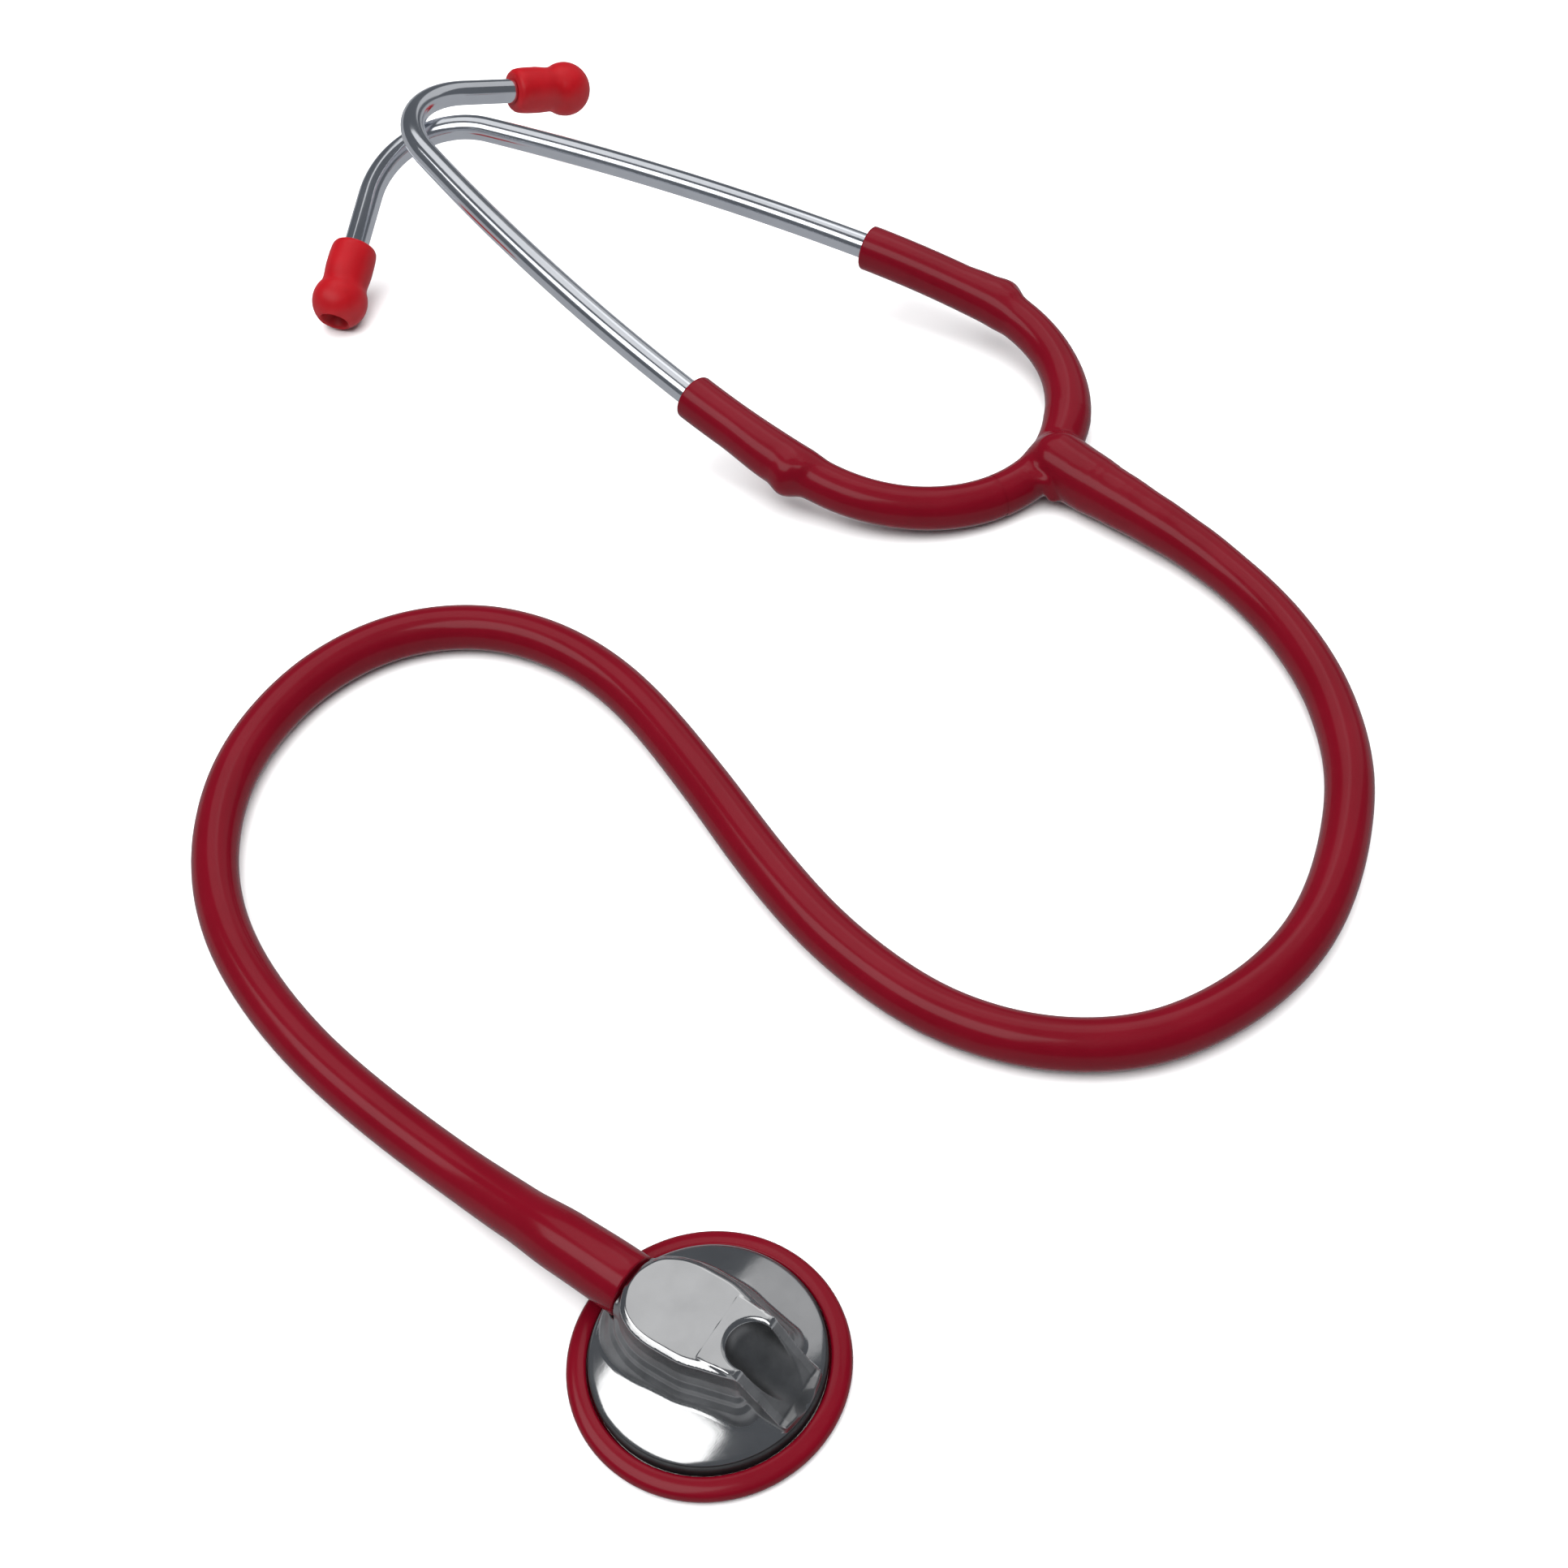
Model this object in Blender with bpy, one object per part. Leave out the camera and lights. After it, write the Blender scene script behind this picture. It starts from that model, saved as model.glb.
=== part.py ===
"""A stethoscope laid down with its two ear tubes crossed, as separate sub-parts.

Row frame: metres, +Z up, the table at z = 0. +Y runs along the headset from the
fork to the ear tips, +X to its right. All driving sizes are the constants below.
"""

import math

import bmesh
import bpy
from mathutils import Matrix, Vector

# ---- where the two rigid groups lie ----
CROTCH = Vector((0.09083, -0.04996, 0.0053))
CHEST = Vector((-0.11882, -0.11706, 0.0))
HEADSET_CLIMB = math.radians(8.19)
HEADSET_ROLL = math.radians(3.18)
ARM_FLEX = math.radians(1.16)

# ---- headset: fork and arms ----
FORK_HALF_WIDTH = 0.0350
FORK_LENGTH = 0.0385
ARM_STRAIGHT = 0.0350
ARM_TOE_IN = math.radians(8.0)
PIVOT_ANGLE = 0.26
PIVOT_BALL_R = 0.0046
SOCKET_R = 0.00515
FORK_R = 0.0049
ARM_BORE_R = 0.0032
MOUTH_BORE_R = 0.00365
LOBE_R = 0.0068

# ---- headset: metal ear tubes ----
EAR_TUBE_R = 0.0030
EAR_TUBE_BORE_R = 0.0023
EAR_TUBE_INSERT = 0.0160
EAR_TUBE_ARC_R = 0.650
EAR_TUBE_ARC_LENGTH = 0.101
EAR_TUBE_BEND_R = 0.0225
EAR_TUBE_BEND = math.radians(96.5)
EAR_TUBE_CANT = math.radians(19.0)
EAR_TUBE_END = 0.0140

# ---- ear tips ----
TIP_BALL_R = 0.00675
TIP_BALL_AT = 0.0155
TIP_BORE_R = 0.0024
TIP_SOUND_R = 0.0012
NIPPLE_LENGTH = 0.0080
NIPPLE_INSERT = 0.0040
NIPPLE_R = 0.0021
NIPPLE_ROOT_R = 0.0017
NIPPLE_BORE_R = 0.0011

# ---- leaf spring in the arms ----
LEAF_WIDTH = 0.0050
LEAF_THICKNESS = 0.0008
LEAF_GRIP = 0.0045
CLAMP_R = 0.0029
CLAMP_LENGTH = 0.0090

# ---- hose ----
HOSE_R = 0.00475
HOSE_BORE_R = 0.0024
CUFF_R = 0.0055
CUFF_START = 0.0400
CUFF_WIDE_FROM = 0.0285
STEM_R = 0.0030
STEM_BORE_R = 0.0016
STEM_Z = 0.0113

# ---- chestpiece ----
RIM_R = 0.0234
RIM_INNER_R = 0.01985
RIM_LIP_R = 0.0185
RIM_TOP = 0.0035
DIAPHRAGM_R = 0.0194
HEAD_EDGE_R = 0.0191
HEAD_SKIRT_R = 0.0170
HEAD_BOTTOM = 0.0019
HEAD_EDGE_Z = 0.0049
HEAD_TOP = 0.0165
CUP_R = 0.0135
SOUND_HOLE_R = 0.0020
HOSE_FACE_Y = 0.0141
HOSE_FACE_R = 0.0058
GROOVE_R = 0.0046
GROOVE_START = -0.0045
GROOVE_SLOPE = math.radians(40.0)
SEAL_BOTTOM = 0.0020
SEAL_TOP = 0.0046
SEAL_R = 0.0195
GAP = 0.0003

# ---- hose route: x, y from the fork's centre, z from the table, in metres ----
HOSE_ROUTE = [
    (0.0000, -0.0035, 0.0072),
    (-0.0014, -0.0104, 0.0070),
    (-0.0034, -0.0256, 0.0064),
    (-0.0065, -0.0435, 0.0054),
    (-0.0136, -0.0629, 0.0048),
    (-0.0249, -0.0798, 0.0048),
    (-0.0385, -0.0923, 0.00477),
    (-0.0509, -0.0995, 0.0048),
    (-0.0679, -0.1054, 0.0048),
    (-0.0842, -0.1075, 0.0048),
    (-0.1005, -0.1048, 0.0048),
    (-0.1155, -0.0974, 0.0048),
    (-0.1254, -0.0869, 0.0048),
    (-0.1317, -0.0739, 0.0048),
    (-0.1343, -0.0576, 0.0048),
    (-0.1317, -0.0369, 0.0048),
    (-0.1249, -0.0162, 0.0048),
    (-0.1144, 0.0080, 0.0048),
    (-0.1061, 0.0293, 0.0048),
    (-0.1024, 0.0460, 0.0048),
    (-0.1029, 0.0618, 0.0048),
    (-0.1083, 0.0760, 0.0048),
    (-0.1201, 0.0877, 0.0048),
    (-0.1371, 0.0932, 0.0048),
    (-0.1553, 0.0917, 0.0048),
    (-0.1699, 0.0856, 0.0048),
    (-0.1830, 0.0752, 0.0048),
    (-0.1930, 0.0619, 0.0048),
    (-0.1999, 0.0461, 0.0048),
    (-0.2043, 0.0289, 0.0048),
    (-0.2065, 0.0119, 0.0048),
    (-0.2077, -0.0048, 0.0054),
    (-0.2085, -0.0188, 0.0070),
    (-0.2092, -0.0290, 0.0092),
    (-0.20955, -0.0370, 0.0107),
    (-0.20965, -0.0440, 0.0113),
    (-0.20965, -0.0527, 0.0113),
]

for old in list(bpy.data.objects):
    bpy.data.objects.remove(old, do_unlink=True)
for old_mesh in list(bpy.data.meshes):
    bpy.data.meshes.remove(old_mesh)


# ---- materials ----
def material(name, colour, metallic, roughness):
    made = bpy.data.materials.new(name)
    made.use_nodes = True
    shader = made.node_tree.nodes["Principled BSDF"]
    shader.inputs["Base Color"].default_value = (*colour, 1.0)
    shader.inputs["Metallic"].default_value = metallic
    shader.inputs["Roughness"].default_value = roughness
    made.diffuse_color = (*colour, 1.0)
    return made


PVC_LOOK = ((0.24, 0.010, 0.022), 0.0, 0.42)
SILICONE_LOOK = ((0.42, 0.02, 0.03), 0.0, 0.5)
CHROME_LOOK = ((0.80, 0.80, 0.82), 1.0, 0.12)
STEEL_LOOK = ((0.62, 0.62, 0.64), 1.0, 0.25)
SPRING_LOOK = ((0.45, 0.45, 0.47), 1.0, 0.35)
NYLON_LOOK = ((0.08, 0.08, 0.085), 0.0, 0.5)
RUBBER_LOOK = ((0.03, 0.03, 0.032), 0.0, 0.6)
EPOXY_LOOK = ((0.75, 0.75, 0.72), 0.0, 0.4)


# ---- mesh helpers ----
def new_object(name, vertices, faces, look):
    mesh = bpy.data.meshes.new(name)
    mesh.from_pydata([tuple(v) for v in vertices], [], faces)
    mesh.update()
    obj = bpy.data.objects.new(name, mesh)
    bpy.context.scene.collection.objects.link(obj)
    bm = bmesh.new()
    bm.from_mesh(mesh)
    bmesh.ops.recalc_face_normals(bm, faces=bm.faces)
    bm.to_mesh(mesh)
    bm.free()
    if look is not None:
        mesh.materials.append(material(name, *look))
    return obj


def cut(target, cutter):
    cutter.hide_render = True
    cutter.display_type = "WIRE"
    step = target.modifiers.new("cut_" + cutter.name, "BOOLEAN")
    step.operation = "DIFFERENCE"
    step.solver = "EXACT"
    step.object = cutter


def move_origin(obj, point):
    """Puts the object's origin on its joint, leaving its mesh where it is."""
    shift = Matrix.Translation(point)
    obj.data.transform(shift.inverted())
    obj.matrix_world = shift


def frames_along(points, side=Vector((0.0, 0.0, 1.0))):
    """Tangent, normal and binormal at each point, carried along without twist."""
    last = len(points) - 1
    tangents = []
    for i in range(last + 1):
        ahead = points[min(i + 1, last)]
        behind = points[max(i - 1, 0)]
        tangents.append((ahead - behind).normalized())
    if abs(side.dot(tangents[0])) > 0.9:
        side = Vector((0.0, 1.0, 0.0))
    normal = side - side.dot(tangents[0]) * tangents[0]
    normal.normalize()
    frames = []
    for tangent in tangents:
        normal = normal - normal.dot(tangent) * tangent
        normal.normalize()
        frames.append((tangent, normal, tangent.cross(normal)))
    return frames


def ring(centre, frame, radius, sides):
    _, normal, binormal = frame
    turn = 2.0 * math.pi / sides
    return [
        centre + radius * (math.cos(i * turn) * normal + math.sin(i * turn) * binormal)
        for i in range(sides)
    ]


def skin_loops(loops, closed_loop):
    """Joins rings of equal count; closed_loop joins the last ring to the first."""
    sides = len(loops[0])
    vertices = [v for loop in loops for v in loop]
    faces = []
    count = len(loops)
    for i in range(count if closed_loop else count - 1):
        a = i * sides
        b = ((i + 1) % count) * sides
        for k in range(sides):
            n = (k + 1) % sides
            faces.append((a + k, a + n, b + n, b + k))
    if not closed_loop:
        faces.append(tuple(range(sides))[::-1])
        faces.append(tuple(range((count - 1) * sides, count * sides)))
    return vertices, faces


def pipe(name, points, outer, inner, sides, look, dome=0.0):
    """A hollow tube along points. dome adds a ball-shaped end at the first point."""
    frames = frames_along(points)
    loops = []
    deepest = math.radians(-36.0)
    if dome:
        for angle in (deepest, deepest / 2.0):
            back = points[0] + dome * math.sin(angle) * frames[0][0]
            loops.append(ring(back, frames[0], dome * math.cos(angle), sides))
    for point, frame, radius in zip(points, frames, outer):
        loops.append(ring(point, frame, radius, sides))
    for point, frame, radius in reversed(list(zip(points, frames, inner))):
        loops.append(ring(point, frame, radius, sides))
    if dome:
        back = points[0] + dome * math.sin(deepest) * frames[0][0]
        loops.append(ring(back, frames[0], inner[0], sides))
    vertices, faces = skin_loops(loops, True)
    return new_object(name, vertices, faces, look)


def rod(name, points, radii, sides, look):
    frames = frames_along(points)
    loops = [ring(p, f, r, sides) for p, f, r in zip(points, frames, radii)]
    vertices, faces = skin_loops(loops, False)
    return new_object(name, vertices, faces, look)


def turned(name, profile, base, axis, sides, look, closed=True):
    """Turns a profile of (along, radius) about the axis; closed joins its ends."""
    frame = frames_along([base, base + axis])[0]
    loops = [ring(base + axis * s, frame, r, sides) for s, r in profile]
    vertices, faces = skin_loops(loops, closed)
    return new_object(name, vertices, faces, look)


def ball(name, centre, radius):
    rows = 9
    profile = []
    for i in range(rows):
        angle = math.pi * (i + 0.5) / rows - math.pi / 2.0
        profile.append((radius * math.sin(angle), radius * math.cos(angle)))
    return turned(name, profile, centre, Vector((0.0, 0.0, 1.0)), 16, None, False)


def smooth_route(points, steps):
    """Catmull-Rom curve through the points, with steps pieces between each two."""
    first = points[0] + (points[0] - points[1])
    last = points[-1] + (points[-1] - points[-2])
    full = [first] + list(points) + [last]
    curve = []
    for i in range(1, len(full) - 2):
        p0, p1, p2, p3 = full[i - 1], full[i], full[i + 1], full[i + 2]
        for k in range(steps):
            t = k / steps
            curve.append(
                0.5
                * (
                    2.0 * p1
                    + (p2 - p0) * t
                    + (2.0 * p0 - 5.0 * p1 + 4.0 * p2 - p3) * t * t
                    + (3.0 * p1 - p0 - 3.0 * p2 + p3) * t * t * t
                )
            )
    curve.append(points[-1])
    return curve


def even_points(curve, spacing):
    """Points at even spacing along a dense curve, with both its ends."""
    lengths = [0.0]
    for a, b in zip(curve, curve[1:]):
        lengths.append(lengths[-1] + (b - a).length)
    count = max(2, round(lengths[-1] / spacing))
    found = []
    k = 0
    for i in range(count + 1):
        want = lengths[-1] * i / count
        while k < len(curve) - 2 and lengths[k + 1] < want:
            k += 1
        part = (want - lengths[k]) / (lengths[k + 1] - lengths[k])
        found.append(curve[k].lerp(curve[k + 1], part))
    return found


# ---- headset frame: local x right, y along the axis, z up from the fork ----
def headset_matrix():
    along = Vector((0.0, math.cos(HEADSET_CLIMB), math.sin(HEADSET_CLIMB)))
    normal = Vector((0.0, -math.sin(HEADSET_CLIMB), math.cos(HEADSET_CLIMB)))
    right = Vector((1.0, 0.0, 0.0))
    x_axis = right * math.cos(HEADSET_ROLL) + normal * math.sin(HEADSET_ROLL)
    z_axis = normal * math.cos(HEADSET_ROLL) - right * math.sin(HEADSET_ROLL)
    turn = Matrix((x_axis, along, z_axis)).transposed()
    return Matrix.Translation(CROTCH) @ turn.to_4x4()


def arch_point(angle, side):
    """A point of the fork's quarter ellipse, side = 1 for right and -1 for left."""
    x = side * FORK_HALF_WIDTH * math.sin(angle)
    return Vector((x, FORK_LENGTH * (1.0 - math.cos(angle)), 0.0))


def arm_matrix(side):
    pivot = Matrix.Translation(arch_point(PIVOT_ANGLE, side))
    flex = Matrix.Rotation(-side * ARM_FLEX, 4, "X")
    return HEADSET @ pivot @ flex @ pivot.inverted()


def arm_line(side):
    """Local centre line of an arm from its pivot to its mouth."""
    points = [
        arch_point(PIVOT_ANGLE + (math.pi / 2.0 - PIVOT_ANGLE) * i / 11, side)
        for i in range(12)
    ]
    steps = 6
    for i in range(steps):
        angle = ARM_TOE_IN * (i + 0.5) / steps
        step = Vector((-side * math.sin(angle), math.cos(angle), 0.0))
        points.append(points[-1] + step * ARM_STRAIGHT / steps)
    return points


def ear_tube_line(side):
    """Local centre line of an ear tube, its end point and its end direction."""
    mouth = arm_line(side)[-1]
    ahead = Vector((-side * math.sin(ARM_TOE_IN), math.cos(ARM_TOE_IN), 0.0))
    inward = Vector((-side * math.cos(ARM_TOE_IN), -math.sin(ARM_TOE_IN), 0.0))
    up = Vector((0.0, 0.0, 1.0))
    points = [mouth - ahead * EAR_TUBE_INSERT, mouth - ahead * EAR_TUBE_INSERT * 0.5]
    for i in range(8):
        angle = EAR_TUBE_ARC_LENGTH / EAR_TUBE_ARC_R * i / 7
        offset = ahead * math.sin(angle) + inward * (1.0 - math.cos(angle))
        points.append(mouth + offset * EAR_TUBE_ARC_R)
    angle = EAR_TUBE_ARC_LENGTH / EAR_TUBE_ARC_R
    along = ahead * math.cos(angle) + inward * math.sin(angle)
    across = inward * math.cos(angle) - ahead * math.sin(angle)
    across = across * math.cos(EAR_TUBE_CANT) - up * math.sin(EAR_TUBE_CANT)
    start = points[-1]
    for i in range(1, 11):
        angle = EAR_TUBE_BEND * i / 10
        offset = along * math.sin(angle) + across * (1.0 - math.cos(angle))
        points.append(start + offset * EAR_TUBE_BEND_R)
    last = along * math.cos(EAR_TUBE_BEND) + across * math.sin(EAR_TUBE_BEND)
    points.append(points[-1] + last * EAR_TUBE_END * 0.5)
    points.append(points[-1] + last * EAR_TUBE_END * 0.5)
    return points, last


UP = Vector((0.0, 0.0, 1.0))
AHEAD = Vector((0.0, 1.0, 0.0))
HEADSET = headset_matrix()
HOSE_POINTS = [Vector((CROTCH.x + x, CROTCH.y + y, z)) for x, y, z in HOSE_ROUTE]
HOSE_CURVE = smooth_route(HOSE_POINTS, 12)


# ---- the two arms, with their ear tubes and ear tips ----
def arm_radii():
    """Outer and inner radius at each point of arm_line."""
    outer = [PIVOT_BALL_R, 0.0048, 0.0049, 0.0048]
    outer += [0.00475] * 6
    outer += [0.0050, 0.0057]
    outer += [0.0054] + [0.0053] * 5
    inner = [ARM_BORE_R] * 14 + [MOUTH_BORE_R] * 4
    return outer, inner


def spring_line(side, to_world):
    """World centre line of the leaf spring from an arm's pivot to its clamp."""
    points = [
        arch_point(PIVOT_ANGLE + (math.pi / 2.0 - PIVOT_ANGLE) * i / 10, side)
        for i in range(11)
    ]
    points.append(points[-1] + Vector((0.0, LEAF_GRIP, 0.0)))
    return [to_world @ p for p in points]


def make_clamp(name, start, turn):
    """The clamp that ends the leaf spring, with a slot for the leaf."""
    forward = turn @ Vector((0.0, 1.0, 0.0))
    bevel = 0.0006
    narrow = CLAMP_R - bevel
    profile = [(0.0, narrow), (bevel, CLAMP_R)]
    profile += [(CLAMP_LENGTH - bevel, CLAMP_R), (CLAMP_LENGTH, narrow)]
    clamp = turned(
        "spring_clamp_" + name, profile, start, forward, 12, NYLON_LOOK, False
    )
    slot_ends = [start - forward * CLAMP_R, start + forward * (LEAF_GRIP + GAP)]
    thick = LEAF_THICKNESS / 2.0 + GAP
    wide = LEAF_WIDTH / 2.0 + 5.0 * GAP
    across = turn @ Vector((1.0, 0.0, 0.0))
    tall = turn @ Vector((0.0, 0.0, 1.0))
    loops = []
    for point in slot_ends:
        loops.append(
            [
                point + across * thick + tall * wide,
                point - across * thick + tall * wide,
                point - across * thick - tall * wide,
                point + across * thick - tall * wide,
            ]
        )
    vertices, faces = skin_loops(loops, False)
    cut(clamp, new_object("slot_cutter_" + name, vertices, faces, None))


def make_nipple(name, end, axis):
    """The threaded nipple that carries an ear tip, with its thread as ridges."""
    pitch = 0.0014
    profile = [(-NIPPLE_INSERT, NIPPLE_R - 0.0001), (GAP, NIPPLE_R - 0.0001)]
    s = 2.0 * GAP
    while s < NIPPLE_LENGTH - pitch:
        profile += [(s, NIPPLE_ROOT_R), (s + pitch / 2.0, NIPPLE_R)]
        s += pitch
    profile += [(NIPPLE_LENGTH, NIPPLE_ROOT_R), (NIPPLE_LENGTH, NIPPLE_BORE_R)]
    profile += [(-NIPPLE_INSERT, NIPPLE_BORE_R)]
    turned("eartip_nipple_" + name, profile, end, axis, 12, STEEL_LOOK)


def make_eartip(name, end, axis):
    """A soft tip: body, slight waist, ball, and a coned opening to the sound hole."""
    profile = [(GAP, TIP_BORE_R), (GAP, 0.0050), (0.0010, 0.0055), (0.0050, 0.0057)]
    profile += [(0.0095, 0.0058)]
    for degrees in (-36, -18, 0, 20, 40, 57):
        angle = math.radians(degrees)
        along = TIP_BALL_AT + TIP_BALL_R * math.sin(angle)
        profile.append((along, TIP_BALL_R * math.cos(angle)))
    opening = TIP_BALL_AT + TIP_BALL_R * math.sin(math.radians(57.0))
    profile += [(opening, 0.0031), (opening - 0.0024, 0.0018)]
    profile += [(opening - 0.0036, TIP_SOUND_R), (NIPPLE_LENGTH + 0.0016, TIP_SOUND_R)]
    profile += [(NIPPLE_LENGTH + 0.0010, TIP_BORE_R)]
    tip = turned("eartip_" + name, profile, end, axis, 16, SILICONE_LOOK)
    move_origin(tip, end)


def make_side(name, side):
    """One arm with all it carries. Returns its spring line and its pivot."""
    to_world = arm_matrix(side)
    turn = to_world.to_3x3()
    pivot = to_world @ arch_point(PIVOT_ANGLE, side)
    line = [to_world @ p for p in arm_line(side)]
    outer, inner = arm_radii()
    arm = pipe("arm_tubing_" + name, line, outer, inner, 12, PVC_LOOK, PIVOT_BALL_R)
    move_origin(arm, pivot)

    clamp_start = arch_point(math.pi / 2.0, side) + Vector((0.0, GAP, 0.0))
    make_clamp(name, to_world @ clamp_start, turn)

    local_line, last = ear_tube_line(side)
    tube_line = [to_world @ p for p in local_line]
    outer = [EAR_TUBE_R] * len(tube_line)
    inner = [EAR_TUBE_BORE_R] * len(tube_line)
    tube = pipe("ear_tube_" + name, tube_line, outer, inner, 12, CHROME_LOOK)
    move_origin(tube, line[-1])

    make_nipple(name, tube_line[-1], turn @ last)
    make_eartip(name, tube_line[-1], turn @ last)
    return spring_line(side, to_world), pivot


left_spring, left_pivot = make_side("left", -1)
right_spring, right_pivot = make_side("right", 1)


# ---- the leaf spring that runs through both arms ----
def make_leaf():
    """One flat leaf, from the left clamp round the fork to the right clamp."""
    middle = [HEADSET @ arch_point(PIVOT_ANGLE * i / 2, 1) for i in (-1, 0, 1)]
    points = left_spring[::-1] + middle + right_spring
    up = HEADSET.to_3x3() @ Vector((0.0, 0.0, 1.0))
    loops = []
    last = len(points) - 1
    for i, point in enumerate(points):
        tangent = (points[min(i + 1, last)] - points[max(i - 1, 0)]).normalized()
        tall = (up - up.dot(tangent) * tangent).normalized() * LEAF_WIDTH / 2.0
        thick = tangent.cross(tall).normalized() * LEAF_THICKNESS / 2.0
        loops.append(
            [point + tall + thick, point - tall + thick, point - tall - thick]
            + [point + tall - thick]
        )
    vertices, faces = skin_loops(loops, False)
    new_object("binaural_spring", vertices, faces, SPRING_LOOK)


make_leaf()


# ---- the moulded fork where the two arms meet the hose ----
def make_fork():
    """The moulded fork. Returns the place where the hose begins."""
    angles = [PIVOT_ANGLE * i / 5 for i in range(-5, 6)]
    arch = [HEADSET @ arch_point(a, 1) for a in angles]
    left_out = (arch[0] - arch[1]).normalized()
    right_out = (arch[-1] - arch[-2]).normalized()
    arch[0] = arch[0] - left_out * GAP
    arch[-1] = arch[-1] - right_out * GAP
    fork = rod("y_joint", arch, [FORK_R] * len(arch), 16, PVC_LOOK)

    radii = [0.0056, LOBE_R, 0.0067, 0.0064, 0.0060, 0.0056, 0.0053, 0.0050, 0.0048]
    lobe_line = even_points(HOSE_CURVE, 0.0050)[: len(radii) - 1]
    top = lobe_line[0] + Vector((0.0, 0.0030, -0.0002))
    lobe = rod("lobe_solid", [top] + lobe_line, radii, 16, None)
    lobe.hide_render = True
    lobe.display_type = "WIRE"
    join = fork.modifiers.new("lobe", "BOOLEAN")
    join.operation = "UNION"
    join.solver = "EXACT"
    join.object = lobe

    # air passages: across the arch, and down to the hose
    inner = [arch[0] + left_out * 3.0 * GAP] + arch[1:-1]
    inner.append(arch[-1] + right_out * 3.0 * GAP)
    cut(fork, rod("arch_bore", inner, [ARM_BORE_R] * len(inner), 12, None))
    down = [CROTCH.copy()] + lobe_line
    down[-1] = down[-1] + (down[-1] - down[-2]).normalized() * 3.0 * GAP
    cut(fork, rod("hose_bore", down, [HOSE_BORE_R] * len(down), 12, None))

    # round sockets that the arms' ends turn in
    cut(fork, ball("socket_cutter_left", left_pivot, SOCKET_R))
    cut(fork, ball("socket_cutter_right", right_pivot, SOCKET_R))
    return lobe_line[-1]


fork_end = make_fork()


# ---- hose and its stretched end over the stem ----
def make_hose():
    start = min(
        range(len(HOSE_CURVE)), key=lambda i: (HOSE_CURVE[i] - fork_end).length
    )
    cuff_y = CHEST.y + CUFF_START
    stop = next(
        i for i, p in enumerate(HOSE_CURVE) if p.y < cuff_y and p.x < CHEST.x + CUFF_START
    )
    points = even_points(HOSE_CURVE[start:stop], 0.0085)
    first = (points[1] - points[0]).normalized()
    final = (points[-1] - points[-2]).normalized()
    points[0] = fork_end + first * 3.0 * GAP
    outer = [HOSE_R] * len(points)
    inner = [HOSE_BORE_R] * len(points)
    pipe("hose", points, outer, inner, 10, PVC_LOOK)

    line = even_points([points[-1] + final * GAP] + HOSE_CURVE[stop:], 0.0030)
    outer = []
    inner = []
    flare_rings = 3
    for i, point in enumerate(line):
        outer.append(HOSE_R + (CUFF_R - HOSE_R) * min(1.0, i / flare_rings))
        over_stem = point.y < CHEST.y + CUFF_WIDE_FROM
        inner.append(STEM_R + GAP if over_stem else HOSE_BORE_R)
    pipe("hose_end_cuff", line, outer, inner, 14, PVC_LOOK)


make_hose()


# ---- chestpiece ----
def shield_reach(angle):
    """Distance from the centre to the raised plateau's edge, by direction."""
    outline = [(0.0, 14.5), (3.5, 14.0), (6.3, 11.5), (7.6, 7.5), (8.5, 3.5)]
    outline += [(9.2, -1.2), (7.4, -3.8), (7.3, -9.2), (5.1, -10.3), (0.0, -10.3)]
    x = abs(math.sin(angle))
    y = math.cos(angle)
    for (ax, ay), (bx, by) in zip(outline, outline[1:]):
        cross_a = x * ay - y * ax
        cross_b = x * by - y * bx
        if cross_a >= -1e-9 and cross_b <= 1e-9:
            part = cross_a / (cross_a - cross_b) if cross_a != cross_b else 0.0
            px = ax + (bx - ax) * part
            py = ay + (by - ay) * part
            return math.hypot(px, py) / 1000.0
    return 0.0103


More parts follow.
